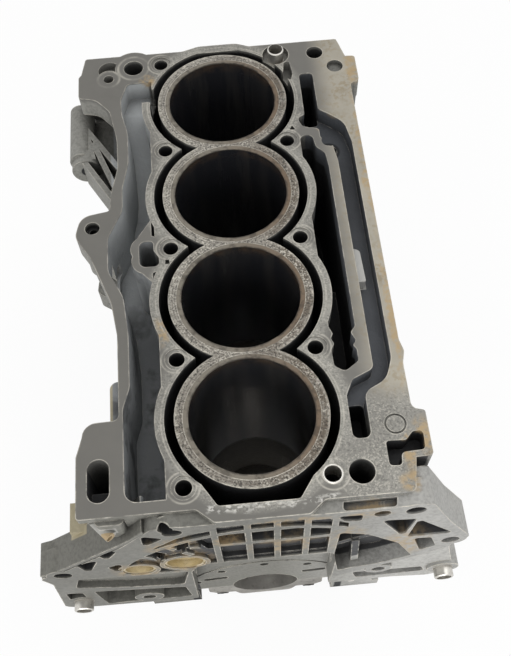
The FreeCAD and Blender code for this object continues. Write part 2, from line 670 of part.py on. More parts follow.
def lowerStep():
    """On the right the flange steps back under the line of the upper plate."""
    step = elevation([(124, below(92), 0), (104, below(112), 6), (78, below(129), 20),
                      (46, below(153), 0), (44, below(190), 0), (150, below(190), 0),
                      (150, below(92), 0)], flangeY - 1, flangeY + archStep)
    x, drop = gearboxDowels["right"]
    bosses = [lying(x, below(drop), flangeY - 2, flangeY + 5, gearboxDowelOuter / 2 + 4.5)]
    bosses += [lying(79.0, below(139), flangeY - 2, flangeY + 5, 9.5)]
    return step.cut(join(bosses))


def flangeFrame():
    """Gearbox flange: a thick plate with an arch, lattice ribs, pockets and bosses."""
    plate = elevation(flangeOutline(), flangeY, flangeBackY)
    bosses = [lying(x, below(drop), flangeY, flangeY + pocketDepth + 1, radius)
              for x, drop, radius, hole in flangeBosses()]
    bosses += [lying(x, below(drop), flangeY, flangeY + pocketDepth + 1,
                     gearboxDowelOuter / 2 + 4.5) for x, drop in gearboxDowels.values()]
    bosses += [lying(x, below(drop), flangeY + 0.8, flangeY + pocketDepth + 1,
                     size / 2 + 3.0) for x, drop, size in corePlugs.values()]
    return plate, join(bosses)


def flangeCuts(bosses):
    """All pockets of the flange, leaving its bosses standing."""
    cuts = [pocketShape(c, d, 2.2) for c, d in flangePockets]
    cuts += [pocketShape(c, d, 1.2) for c, d in latticePockets()]
    deep = join(cuts).cut(bosses)
    shelf = elevation(ribBar(40, below(94), 88, below(63), 5.0), flangeY + 7,
                      flangeBackY)
    shelf2 = elevation(ribBar(59, below(80), 62, below(130), 5.0), flangeY + 5,
                       flangeBackY)
    return [deep.cut([shelf, shelf2]), archRecess(), lowerStep()]


def rearWall():
    """Rear wall with the ring that takes the seal carrier, and the fittings above it."""
    ring = lying(0, 0, sealY - 0.6, sealY + 8, sealRing)
    ring = ring.cut(box(-sealRing, sealRing, sealY - 5, sealY + 9, -sealRing - 1, 0))
    half = bayRadius + crankcaseWall + 9
    wall = elevation([(left(20.5), below(30), 4), (right(29.0), below(30), 4),
                      (right(29.0), shoulder, 10), (half, railZ, 0), (-half, railZ, 0),
                      (left(20.5), shoulder, 10)], sealY, sealY + 9)
    return join([wall, ring])


def slanted(start, end, radius):
    return Part.makeCylinder(radius, (end - start).Length, start, end - start)


def rearFittings():
    """Oil drilling boss and vent nozzle between the head face and the flange."""
    drilling = slanted(Vec(left(-3), nearY + 4, below(12)),
                       Vec(left(-3), flangeY + 4, below(7.5)), 6.6)
    nozzle = slanted(Vec(left(39), nearY + 5, below(15)),
                     Vec(left(28.5), flangeY + 2, below(15)), 3.4)
    lug = plan([(left(43), flangeBackY, 2), (left(18), flangeBackY, 0),
                (left(20), nearY - 3.0, 3), (left(35), nearY - 3.0, 3)],
               below(26), below(5))
    plate = box(left(60), left(43.5), flangeBackY - 5, flangeBackY + 14,
                below(66), below(50))
    return join([drilling, nozzle, lug, plate])


def rearCuts():
    cuts = []
    for x, drop, radius, hole in flangeBosses():
        cuts.append(lying(x, below(drop), flangeY - 2, flangeY + 20, hole))
    for x, drop in gearboxDowels.values():
        seat = flangeY + gearboxDowelLength - gearboxDowelProud
        cuts.append(lying(x, below(drop), flangeY - 2, seat, gearboxDowelOuter / 2))
        cuts.append(lying(x, below(drop), flangeY - 2, flangeBackY + 2,
                          gearboxDowelInner / 2))
    for x, drop, size in corePlugs.values():
        cuts.append(lying(x, below(drop), flangeY - 2, plugMouth + plugDepth, size / 2))
    for sign in (-1, 1):
        cuts.append(lying(sign * sealPinX, sealPinZ, sealY - 20,
                          sealY + pinLength - pinProud, pinDiameter / 2))
        cuts.append(lying(sign * (sealPinX - 9.0), sealPinZ - 3.0, sealY - 20, sealY + 6,
                          2.6))
    throat = elevation([(-45, below(98), 3), (44, below(98), 3), (46, below(142), 0),
                        (-48, below(142), 0)], flangeY - 5, sealY)
    drilling = slanted(Vec(left(-3), nearY + 16, below(19)),
                       Vec(left(-3), flangeY - 2, below(8.3) + 4.4), 4.3)
    nozzle = slanted(Vec(left(38), nearY + 6, below(15)),
                     Vec(left(25), flangeY - 5, below(15)), 2.0)
    ledge = plan([(right(-11), nearY - 2.5, 0), (right(19), nearY - 2.5, 0),
                  (right(18), flangeY + 0.8, 2), (right(-12), flangeY + 0.8, 2)],
                 below(flangeTop + 4), deckHeight + 1)
    for angle in range(20, 180, 35):
        x = 55.0 * math.cos(math.radians(angle))
        z = 55.0 * math.sin(math.radians(angle))
        cuts.append(lying(x, z, sealY - 10, sealY + 10, 3.2))
    for x in (-37.0, 37.0):
        cuts.append(elevation([(x - 9, 22, 2.4), (x + 9, 24, 2.4), (x + 9, 30, 2.4),
                               (x - 9, 28, 2.4)], sealY - 2, sealY + 2.5))
    return cuts + [throat, drilling, nozzle, ledge]


# ---- brackets on the left side

def bracket():
    """Ribbed arm at the timing end of the left side, with a boss along the engine."""
    top = below(24)
    arm = lying(left(49.0), top - 9, rows[1] + 26.0, rows[0] - 8.0, 9.0)
    tail = lying(left(46.0), top - 12, rows[1] + 20.0, rows[1] + 30.0, 11.0)
    web = plan([(left(10), rows[0] - 10, 0), (left(50), rows[0] - 10, 4),
                (left(52), rows[1] + 26.0, 6), (left(40), rows[1] + 10.0, 8),
                (left(28), rows[1] - 18.0, 10), (left(10), rows[1] - 34.0, 0)],
               top - 24, top - 16.5)
    ribs = []
    fan = [((left(49), rows[0] - 24), (left(18), rows[1] + 6)),
           ((left(44), rows[1] + 44), (left(40), rows[1] + 22)),
           ((left(40), rows[1] + 38), (left(20), rows[1] - 18)),
           ((left(46), rows[1] + 20), (left(18), rows[1] - 30))]
    for (x0, y0), (x1, y1) in fan:
        ribs.append(plan(ribBar(x0, y0, x1, y1, flangeRib), top - 24, top - 2))
    return join([arm, tail, web] + ribs)


def lowerLug():
    """Small lug on the left under the ear."""
    return plan([(left(15), rows[2] + 20, 0), (left(40), rows[2] + 12, 4),
                 (left(41), rows[2] + 2, 4), (left(15), rows[2] - 16, 0)],
                below(62), below(46))


# ---- ribs and bosses on both sides

def sideRibs():
    """Upright ribs at the bulkheads and long ribs at the shoulder, on both sides."""
    ribs = []
    depth = sideRib / 2
    for y in rows[1:-1]:
        ribs.append(elevation([(right(35), below(12), 0), (right(39.5), below(30), 10),
                               (right(39.5), shoulder, 10), (right(30), 30.0, 10),
                               (right(20), 30.0, 0)], y - depth, y + depth))
    for drop in (52.0, 96.0):
        ribs.append(box(right(30), right(38.5), rows[4] + 8, rows[0] - 12,
                        below(drop) - depth, below(drop) + depth))
    for y in rows[2:-1]:
        ribs.append(elevation([(left(15), below(20), 0), (left(25), below(40), 10),
                               (left(25), shoulder - 10, 10), (left(15), 20.0, 0)],
                              y - depth, y + depth))
    ribs.append(box(left(24.5), left(15), rows[4] + 30, rows[0] - 12,
                    below(84) - depth, below(84) + depth))
    return ribs


def bossPlaces():
    """Bosses on the sides: (side, y, height, boss radius, hole radius)."""
    return [
        (1, rows[1] + 26.0, 172.0, 12.0, 4.2), (1, rows[1] + 26.0, 122.0, 12.0, 4.2),
        (1, rows[0] - 14.0, 92.0, 12.0, 4.2), (1, boreCentres[1], 150.0, 10.0, 4.0),
        (1, boreCentres[2] - 6.0, 104.0, 22.0, 9.0), (1, rows[3] - 30.0, 140.0, 11.0, 4.2),
        (1, rows[3] - 62.0, 88.0, 11.0, 4.2), (-1, boreCentres[2], 132.0, 10.0, 4.0),
        (-1, boreCentres[2] + 14.0, 92.0, 10.0, 4.0), (-1, rows[3] - 22.0, 96.0, 12.0, 4.2),
        (-1, boreCentres[0] - 8.0, 92.0, 12.0, 4.2), (-1, boreCentres[1], 96.0, 18.0, 7.0),
    ]


def sideBosses():
    bosses = []
    for sign, y, z, radius, hole in bossPlaces():
        inner, outer = (right(25), right(40)) if sign > 0 else (left(26), left(12))
        bosses.append(across(y, z, inner, outer, radius))
    return bosses


def sideHoles():
    cuts = []
    for sign, y, z, radius, hole in bossPlaces():
        inner, outer = (right(28), right(41)) if sign > 0 else (left(27), left(18))
        cuts.append(across(y, z, inner, outer, hole))
    return cuts


def timingHoles():
    """Tapped holes round the rim of the timing end."""
    rim = bayRadius + crankcaseWall + 8.0
    places = [(-rim, -18.0), (rim, -18.0), (-rim - 1, 22.0), (rim + 1, 22.0),
              (left(30.0), below(80)), (right(27.0), below(80)), (left(33.0), below(42)),
              (right(27.5), below(42)), (0.0, 64.0), (-44.0, 58.0), (44.0, 58.0)]
    return [lying(x, z, farY - 12, farY + 2, 3.4) for x, z in places]


# ---- pan rail

def railHoles():
    half = bayRadius + crankcaseWall + 9.0
    cuts = []
    for y in boreCentres:
        for sign in (-1, 1):
            cuts.append(post(sign * (half + 0.5), y, railZ - 1, railZ + 9, 3.4))
    return cuts


def boreCuts():
    """Seats for the liners and the open throats under them."""
    cuts = []
    for y in boreCentres:
        cuts.append(post(0, y, boreBottom, deckHeight + 1, bore / 2 + linerWall))
        cuts.append(post(0, y, 30.0, boreBottom + 1, bore / 2 + 0.4))
    return cuts


def carve(body, cuts):
    """Cuts a group of hollows at once, or one by one where that leaves a bad solid."""
    done = body.cut(cuts)
    if done.isValid() and len(done.Solids) == 1:
        return done
    for cut in cuts:
        body = body.cut(cut)
    return body


def cylinderBlock():
    """The whole casting, with every hollow cut."""
    plate, flangeBossed = flangeFrame()
    body = join([upperBody(), crankcase(), timingFlange(), plate, flangeBossed, rearWall(),
                 bracket(), lowerLug()] + sideRibs() + sideBosses())
    body = carve(body, [timingRecess()] + timingHoles())
    body = carve(body, flangeCuts(flangeBossed))
    body = body.fuse(rearFittings())
    for cuts in ([waterJacket(), leftChannel()], [ventGroove(), oilReturn()],
                 shapedPockets(), deckHoles(), crankBays(), bearingCuts(), rearCuts(),
                 railHoles(), sideHoles(), boreCuts()):
        body = carve(body, cuts)
    merged = body.copy().removeSplitter()
    return merged if merged.isValid() else body


# ---- the pieces that are fitted to the block

def liner(y):
    tube = post(0, y, boreBottom, deckHeight, bore / 2 + linerWall)
    return tube.cut(post(0, y, boreBottom - 1, deckHeight + 1, bore / 2))


def cap(row):
    """Main bearing cap with two bolt pads and a rounded keel under the bore."""
    y, width = bearingY(row), bearingWidth(row)
    w = capHalfWidth
    body = elevation([(-w, 0, 0), (-w, -capPadDepth + 6, 3), (-w + 6, -capPadDepth, 3),
                      (-capBoltX + 10.5, -capPadDepth, 2), (-capBoltX + 15, -capDepth, 6),
                      (capBoltX - 15, -capDepth, 6), (capBoltX - 10.5, -capPadDepth, 2),
                      (w - 6, -capPadDepth, 3), (w, -capPadDepth + 6, 3), (w, 0, 0)],
                     y - width / 2, y + width / 2)
    cuts = [lying(0, 0, y - width, y + width, housingBore / 2)]
    for sign in (-1, 1):
        cuts.append(post(sign * capBoltX, y, -capDepth - 1, 1,
                         (capBoltShank + capBoltClearance) / 2))
    return body.cut(cuts)


def capBolt(sign, row):
    """Flanged hexagon bolt up through the cap into the bulkhead."""
    x, y = sign * capBoltX, bearingY(row)
    top = -capPadDepth
    shank = post(x, y, top - 2, capBoltReach - 2, capBoltShank / 2)
    flange = Part.makeCone(capFlange / 2, capBoltHead / 2 + 0.6, 2.4, Vec(x, y, top),
                           Vec(0, 0, -1))
    radius = capBoltHead / 2 / math.cos(math.radians(30))
    corners = [(x + radius * math.cos(math.radians(60 * k)),
                y + radius * math.sin(math.radians(60 * k)), 0) for k in range(6)]
    head = plan(corners, top - capBoltHeadHeight, top - 1)
    return join([shank, flange, head])


def sleeve(start, along, outer, inner, length, proud):
    """Hollow dowel pressed into its seat; the part that stands out is eased to slide."""
    seated = length - proud
    slope = min(dowelChamfer, proud / 2)
    sliding = outer / 2 - dowelEase
    neck = start + along * seated
    tip = start + along * (length - slope)
    solid = join([Part.makeCylinder(outer / 2, seated, start, along),
                  Part.makeCylinder(sliding, proud - slope, neck, along),
                  Part.makeCone(sliding, sliding - slope, slope, tip, along)])
    return solid.cut(Part.makeCylinder(inner / 2, length + 2, start - along, along))


def deckDowel(y):
    proud = deckDowelProud + deckDowelWellDepth if y > 0 else 0.4
    return sleeve(Vec(headBoltX, y, below(deckDowelSeat(y))), Vec(0, 0, 1),
                  deckDowelOuter, deckDowelInner, deckDowelLength, proud)


def gearboxDowel(x, drop):
    seat = flangeY + gearboxDowelLength - gearboxDowelProud
    return sleeve(Vec(x, seat, below(drop)), Vec(0, -1, 0), gearboxDowelOuter,
                  gearboxDowelInner, gearboxDowelLength, gearboxDowelProud)


def sealPin(sign):
    return lying(sign * sealPinX, sealPinZ, sealY - pinProud,
                 sealY + pinLength - pinProud, pinDiameter / 2)


def corePlug(x, drop, size):
    """Pressed cup, open to the gearbox side."""
    y = plugMouth
    cup = lying(x, below(drop), y, y + plugDepth, size / 2)
    return cup.cut(lying(x, below(drop), y - 1, y + plugDepth - plugWall,
                         size / 2 - plugWall))


def pistonJet(y):
    """Oil jet screwed to the bulkhead, with a pipe that turns up to the piston."""
    wall = y - (pitch - bulkhead) / 2
    z = 46.0
    body = lying(-44.0, z - 14, wall, wall + 9.0, jetBody / 2)
    start = Vec(-44.0, wall + 6.0, z - 14)
    path = [start, start + Vec(3.0, 7.0, 0), start + Vec(7.0, 12.0, 8.0)]
    pipes = []
    for a, b in zip(path[:-1], path[1:]):
        pipes.append(Part.makeCylinder(jetPipe / 2, (b - a).Length, a, b - a))
        pipes.append(Part.makeSphere(jetPipe / 2, b))
    return join([body] + pipes)


def pieces():
    made = {"cylinder_block": cylinderBlock()}
    for k, y in enumerate(boreCentres, 1):
        made[f"cylinder_liner_{k}"] = liner(y)
        made[f"piston_jet_{k}"] = pistonJet(y)
    for k, row in enumerate(rows, 1):
        made[f"main_bearing_cap_{k}"] = cap(row)
        made[f"main_cap_bolt_{k}_left"] = capBolt(-1, row)
        made[f"main_cap_bolt_{k}_right"] = capBolt(1, row)
    made["deck_dowel_front"] = deckDowel(rows[0])
    made["deck_dowel_rear"] = deckDowel(rows[-1])
    for name, (x, drop) in gearboxDowels.items():
        made[f"gearbox_dowel_{name}"] = gearboxDowel(x, drop)
    for name, (x, drop, size) in corePlugs.items():
        made[f"core_plug_{name}"] = corePlug(x, drop, size)
    made["seal_carrier_pin_left"] = sealPin(-1)
    made["seal_carrier_pin_right"] = sealPin(1)
    return made


os.makedirs("parts", exist_ok=True)
for name, shape in pieces().items():
    shape.exportStep(f"parts/{name}.step")
    print(name, "solids", len(shape.Solids), "valid", shape.isValid(),
          "cm3", round(shape.Volume / 1000, 2))
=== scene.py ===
import json
import math

import bmesh
import bpy
from mathutils import Matrix, Vector


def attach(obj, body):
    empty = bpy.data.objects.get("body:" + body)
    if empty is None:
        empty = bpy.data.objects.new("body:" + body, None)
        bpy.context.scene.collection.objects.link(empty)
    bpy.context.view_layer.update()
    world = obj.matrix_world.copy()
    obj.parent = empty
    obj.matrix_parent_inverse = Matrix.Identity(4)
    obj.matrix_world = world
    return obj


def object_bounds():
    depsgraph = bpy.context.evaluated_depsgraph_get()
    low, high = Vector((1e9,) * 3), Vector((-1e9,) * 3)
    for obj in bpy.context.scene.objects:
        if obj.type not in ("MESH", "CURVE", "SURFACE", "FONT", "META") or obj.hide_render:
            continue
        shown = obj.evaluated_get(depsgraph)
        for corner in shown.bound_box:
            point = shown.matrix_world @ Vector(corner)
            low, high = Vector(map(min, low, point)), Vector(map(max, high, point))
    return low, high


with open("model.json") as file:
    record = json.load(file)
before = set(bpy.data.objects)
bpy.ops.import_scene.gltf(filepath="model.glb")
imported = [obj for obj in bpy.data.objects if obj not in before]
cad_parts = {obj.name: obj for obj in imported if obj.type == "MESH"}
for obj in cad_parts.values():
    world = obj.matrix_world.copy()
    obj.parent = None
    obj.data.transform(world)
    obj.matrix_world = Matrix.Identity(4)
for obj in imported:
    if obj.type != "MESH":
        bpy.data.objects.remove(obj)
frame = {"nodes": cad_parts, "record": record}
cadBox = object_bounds()
mm = 0.001
print("frame loaded")

# camera: high over the gearbox end, looking forward and down
camera = {
    "place": (-4.3 * mm, -325.2 * mm, 643.6 * mm),
    "forward": (0.0143, 0.4320, -0.9018),
    "right": (0.9958, -0.0882, -0.0264),
    "lens": 45.4,          # mm on a 36 mm sensor
    "riseOfFrame": 0.116,  # vertical shift
}


def addCamera():
    data = bpy.data.cameras.new("camera")
    data.lens = camera["lens"]
    data.sensor_fit = "VERTICAL"
    data.sensor_height = 36.0
    data.shift_y = camera["riseOfFrame"]
    data.clip_start = 0.01
    data.clip_end = 20.0
    obj = bpy.data.objects.new("camera", data)
    bpy.context.collection.objects.link(obj)
    back = -Vector(camera["forward"]).normalized()
    right = Vector(camera["right"])
    right = (right - right.dot(back) * back).normalized()
    up = back.cross(right)
    turn = Matrix((right, up, back)).transposed()
    obj.matrix_world = Matrix.Translation(Vector(camera["place"])) @ turn.to_4x4()
    bpy.context.scene.camera = obj


addCamera()
bpy.context.scene.view_settings.view_transform = "Standard"
print("camera placed")


# ways to work that every finish shares
def fromHex(code):
    # sRGB hex to the linear colour that the shaders take
    channels = [int(code[i:i + 2], 16) / 255 for i in (0, 2, 4)]
    linear = [c / 12.92 if c <= 0.04045 else ((c + 0.055) / 1.055) ** 2.4 for c in channels]
    return (*linear, 1.0)


def addNode(tree, kind, settings=None, links=None):
    # one node with its properties, its socket values and what feeds it
    node = tree.nodes.new(kind)
    for key, value in (settings or {}).items():
        if isinstance(key, str) and hasattr(node, key):
            setattr(node, key, value)
        else:
            node.inputs[key].default_value = value
    for key, source in (links or {}).items():
        tree.links.new(source, node.inputs[key])
    return node


def newFinish(name):
    mat = bpy.data.materials.new(name)
    mat.use_nodes = True
    return mat, mat.node_tree, mat.node_tree.nodes["Principled BSDF"]


def dress(mat, *names):
    # every slot of those CAD nodes takes the finish
    for name in names:
        for slot in frame["nodes"][name].material_slots:
            slot.material = mat


def coat(tree, under, amount, code, most=1.0):
    # a coat of one colour over what is under it, as thick as its mask says
    if most < 1.0:
        amount = addNode(tree, "ShaderNodeMath", {"operation": "MULTIPLY", 1: most},
                         {0: amount}).outputs[0]
    over = addNode(tree, "ShaderNodeMix", {"data_type": "RGBA", 7: fromHex(code)},
                   {0: amount, 6: under})
    return over.outputs[2]


def overlap(tree, *masks):
    # where all the masks hold
    held = masks[0]
    for mask in masks[1:]:
        held = addNode(tree, "ShaderNodeMath", {"operation": "MULTIPLY"},
                       {0: held, 1: mask}).outputs[0]
    return held


def anyOf(tree, *masks):
    # where one of the masks holds
    held = masks[0]
    for mask in masks[1:]:
        held = addNode(tree, "ShaderNodeMath", {"operation": "MAXIMUM"},
                       {0: held, 1: mask}).outputs[0]
    return held


def within(tree, place, low, high, soft=1.0):
    # a box in millimetres with a soft border
    middle = [(a + b) / 2 * mm for a, b in zip(low, high)]
    half = [(b - a) / 2 * mm for a, b in zip(low, high)]
    offset = addNode(tree, "ShaderNodeVectorMath", {"operation": "SUBTRACT", 1: middle},
                     {0: place})
    away = addNode(tree, "ShaderNodeVectorMath", {"operation": "ABSOLUTE"},
                   {0: offset.outputs[0]})
    faded = addNode(tree, "ShaderNodeMapRange",
                    {"data_type": "FLOAT_VECTOR", "interpolation_type": "SMOOTHSTEP",
                     7: [h + soft * mm for h in half], 8: [h - soft * mm for h in half],
                     9: (0, 0, 0), 10: (1, 1, 1)},
                    {6: away.outputs[0]})
    parts = addNode(tree, "ShaderNodeSeparateXYZ", {}, {0: faded.outputs["Vector"]})
    return overlap(tree, *parts.outputs)


def blot(tree, place, centre, radii, soft=0.5):
    # a round or long stain in millimetres that fades over the outer part of its radius
    offset = addNode(tree, "ShaderNodeVectorMath",
                     {"operation": "SUBTRACT", 1: [c * mm for c in centre]}, {0: place})
    scaled = addNode(tree, "ShaderNodeVectorMath",
                     {"operation": "DIVIDE", 1: [r * mm for r in radii]},
                     {0: offset.outputs[0]})
    span = addNode(tree, "ShaderNodeVectorMath", {"operation": "LENGTH"},
                   {0: scaled.outputs[0]})
    return addNode(tree, "ShaderNodeMapRange", {1: 1.0, 2: 1.0 - soft},
                   {0: span.outputs["Value"]}).outputs[0]


def grain(tree, place, size, low=0.35, high=0.65, detail=4.0, stretch=(1, 1, 1)):
    # cloudy mask whose patches are about size millimetres across
    scaled = addNode(tree, "ShaderNodeVectorMath", {"operation": "MULTIPLY", 1: stretch},
                     {0: place})
    cloud = addNode(tree, "ShaderNodeTexNoise", {"Scale": 0.5 / (size * mm), "Detail": detail,
                                                 "Roughness": 0.6},
                    {"Vector": scaled.outputs[0]})
    return addNode(tree, "ShaderNodeMapRange", {1: low, 2: high},
                   {0: cloud.outputs[0]}).outputs[0]


# die-cast aluminium, as cast outside and milled on its faces: a grey satin skin with
# hollows darkened by painted shade, pale edges that are partly wear and partly painted highlight,
# and tan varnish where gaskets and oil lay
block = {
    "skinHex": "656460",
    "skinPaleHex": "83827d",
    "litRightWingHex": "b4b3af",        # painted light: the right side of the gearbox flange made lighter, as if lit from the right
    "leftWingHex": "77766f",
    "bracketHex": "94938d",
    "channelHex": "b6b9ba",
    # the channel's near, deeper half, darker
    "channelDeepHex": "727476",
    "grooveHex": "4b4e53",
    "grooveNearHex": "73767b",
    # painted shade, near black, in the jacket, the deep pockets and the holes
    "hollowShadeHex": "1b1c1f",
    "pocketShadeHex": "2e2f33",        # painted shade on the floors of the flange pockets and the two slots
    "deckHex": "72706b",
    "wallHex": "96948d",        # milled wall that carries the bolts
    "stripHex": "aca698",       # right edge of the head face: a tan stain, made lighter by painted light from the right
    "ringHex": "96928a",
    # heat scorch on the barrel tops, and painted shade inside the crankcase
    "scorchAndShadeHex": "5f564b",
    "varnishHex": "a8926e",
    "residueAndHighlightHex": "d6d1c4",     # pale gasket residue, and pale edges that are partly wear and partly painted highlight
    # grime, and painted shade in the corners
    "grimeAndShadeHex": "201f1e",
    "silverHex": "c4c3be",
    "beigeHex": "b3a98d",
    "mottleHex": "8d7d5e",      # brown freckles on the right edge
    "chipHex": "e6e4dd",        # bare bright metal where the edge is chipped
    # millimetres from here on
    "grainSize": 1.1,           # real grain is near 0.3 and wouldn't show
    "speckSize": 0.6,           # gasket dust, drawn a little coarser than it is
    "edgeWidth": 1.3,           # width of the pale edge, partly wear and partly painted highlight
    "cutterPitch": 1.7,         # rings on the barrel tops; real ones are near 0.3
    "cutterTrack": 4.0,         # milling tracks on the flat faces
    "jacketMiddle": 48.4,       # radius of the water jacket, middle of its gap
    "jacketHalf": 3.6,
    "boltHole": 5.1,
    "raggedBy": 9.0,            # how far stains wander from their plain outline
    "crevice": 16.0,            # how wide a hollow still darkens, with grime and painted shade
    # where a change starts and is full, along the part or away from a bore
    "fades": {
        "nearEnd": (-150, -166),      # y, towards the gearbox end
        "nearHalf": (40, -40),        # y
        "rightSide": (10, 90),        # x
        "scorchAcross": (-8, 34),     # x, over the barrel tops
        "scorchAlong": (-40, -130),   # y, over the barrel tops
        "boltWall": (61, 56.5),       # from the cylinder axis
        "barrelTop": (46.0, 45.4),    # from the cylinder axis
    },
    # the same under the head face, and behind the face of the gearbox flange
    "headSkin": (0.8, 0.7),
    "underHead": (0.9, 3),
    "flangeSkin": (0.5, 0.2),
    # pale beads left by the gasket: what they run round, radius and half width
    "beads": [("bolt", 9.4, 0.5), ("bore", 53.2, 0.4), ("bore", 44.6, 0.35)],
    "holeBead": 4.2,            # bead outside the first two holes below
    # oil, water and breather holes of the head face: x, y and radius
    "holes": [(-62, 162.5, 7.0), (-80.2, 153.5, 3.6), (70.5, 163, 5.9), (58.5, -164, 7.5),
              (-92.5, 21, 4.8), (-55, -172, 4.5)],
    # stretches of the casting as two corners and the width of their soft border
    "zones": {
        "bracket": ((-130, 0, 100), (-81, 160, 206), 3),
        "ear": ((-130, -30, 100), (-81, 50, 206), 3),
        "rightStrip": ((72, -118, 190), (120, 190, 215), 10),
        "nearRight": ((46, -190, 190), (120, -118, 215), 8),
        "chippedEdge": ((-30, -181, 206), (44, -175.5, 209), 1.5),
        "jacket": ((-60, -176, 110), (60, 171, 212), 0.1),
        "jacketEnd": ((-60, 170, 110), (60, 174.4, 212), 0.1),
        "jacketCorner": ((-38, -176.8, 113), (38, -152, 207.0), 0.4),
        "boltWall": ((-68, -200, 100), (-40, 200, 250), 1),
        "channel": ((-84, -171.5, 150), (-52, 149, 207.2), 0.8),
        "groove": ((55, -126, 194), (87.5, 145, 207.2), 0.8),
        "pocket": ((47, -150, 90), (88, 146, 194.5), 1.0),
        "leftSlot": ((-97, -163.5, 140), (-82.5, -148, 207.2), 0.3),
        "rightSlot": ((73, -163.5, 190), (97, -141.5, 207.2), 0.3),
        "crankcase": ((-72, -166, -45), (72, 166, 85), 2),
        "wellFloor": ((44.5, 136, 198), (54, 160, 207.3), 0.5),
        "crescent": ((-92, 155, 196), (-70, 172, 207.3), 0.4),
        "flangeLeft": ((-143, -184.8, 97), (-49, -163.6, 201), 0.4),
        "flangeMiddle": ((-49.5, -184.8, 111), (48, -163.6, 201), 0.4),
        "flangeRight": ((47, -184.8, 80), (150, -163.6, 201), 0.4),
        "archBack": ((50, -175, 40), (108, -163.6, 112), 0.5),
    },
    # sloped edges of the flange: direction across, where the inside starts and is full
    "slopes": {
        "left": ((0.941, 0, -1), -253.0, -252.0),
        "right": ((1, 0, 0.48), 191.3, 190.3),
        "lowerRight": ((-0.613, 0, 1), 54.5, 55.5),
    },
    "frontDowel": ((42, 164, 0), (10.2, 10.2, 99)),
    # painted shade: a dark disc on the groove floor stands for a round hole there
    "grooveCup": ((71, 79, 0), (8.5, 8.5, 99)),
    # painted shade: a dark disc on the end face of the bracket boss for its bore
    "armBore": ((-103, 102, 172), (4.6, 3, 4.6)),
    # stains as centre and radii: tan on the head face, golden in the gearbox end
    "tan": [((86, -172, 208), (9, 8, 5)), ((97, -146, 208), (7, 15, 5)),
            ((86, -154, 208), (5, 14, 5)), ((91, -60, 208), (3, 60, 5)),
            ((92, 60, 208), (3, 70, 5)), ((95, 145, 208), (6, 22, 5)),
            ((70, 96, 208), (10, 9, 5)), ((-52, 148, 208), (7, 7, 5)),
            ((-50, -62, 208), (5, 12, 5)), ((61, -183, 198), (18, 5, 9))],
    "golden": [((-50, -186, 131), (22, 14, 24)), ((-80, -186, 124), (20, 14, 20)),
               ((-54, -186, 170), (18, 14, 16)), ((-20, -184, 170), (12, 14, 12)),
               ((16, -184, 196), (30, 14, 8)), ((16, -182, 150), (34, 14, 18)),
               ((52, -182, 152), (14, 14, 30)), ((88, -186, 128), (20, 14, 34))],
    # cast-on parts in a colour of their own: two corners, border, colour and share
    "dabs": [((-90, -122, 135), (-82.4, -86, 200), 0.5, "beigeHex", 0.8),
             ((-118, -170, 141), (-99.5, -147, 160), 0.5, "beigeHex", 0.8),
             ((73.5, -37, 195.5), (80.5, -9, 204.5), 0.4, "silverHex", 0.8),
             ((-100, -185.5, 189), (-82, -176, 197.5), 0.3, "silverHex", 0.45),
             ((-91, -186, 188), (-80, -182.4, 198), 0.4, "varnishHex", 0.9)],
}
mounts = {m["name"]: m for m in frame["record"]["mounts"]}
cylinderNames = ["cylinder_%d" % k for k in range(1, 5)]
deckZ = mounts["head_face"]["pos_m"][2] / mm
flangeY = mounts["gearbox_face"]["pos_m"][1] / mm
boreRadius = mounts["cylinder_1"]["dims"]["r_mm"]
boltX = mounts["head_bolts_middle"]["dims"]["spacing_x_mm"] / 2
pitch = (mounts["cylinder_1"]["pos_m"][1] - mounts["cylinder_2"]["pos_m"][1]) / mm


def ringAt(tree, distance, radius, half, soft=0.4):
    # a band at one distance, in millimetres
    off = addNode(tree, "ShaderNodeMath", {"operation": "SUBTRACT", 1: radius * mm}, {0: distance})
    size = addNode(tree, "ShaderNodeMath", {"operation": "ABSOLUTE"}, {0: off.outputs[0]})
    return addNode(tree, "ShaderNodeMapRange", {1: (half + soft) * mm, 2: (half - soft) * mm},
                   {0: size.outputs[0]}).outputs[0]


def zone(tree, at, name):
    # a named stretch of the casting
    return within(tree, at["place"], *block["zones"][name])


def fade(ends, base=0, sign=1):
    # the ends of a change in millimetres, as a map range takes them
    return {socket: (base + sign * end) * mm for socket, end in zip((1, 2), ends)}


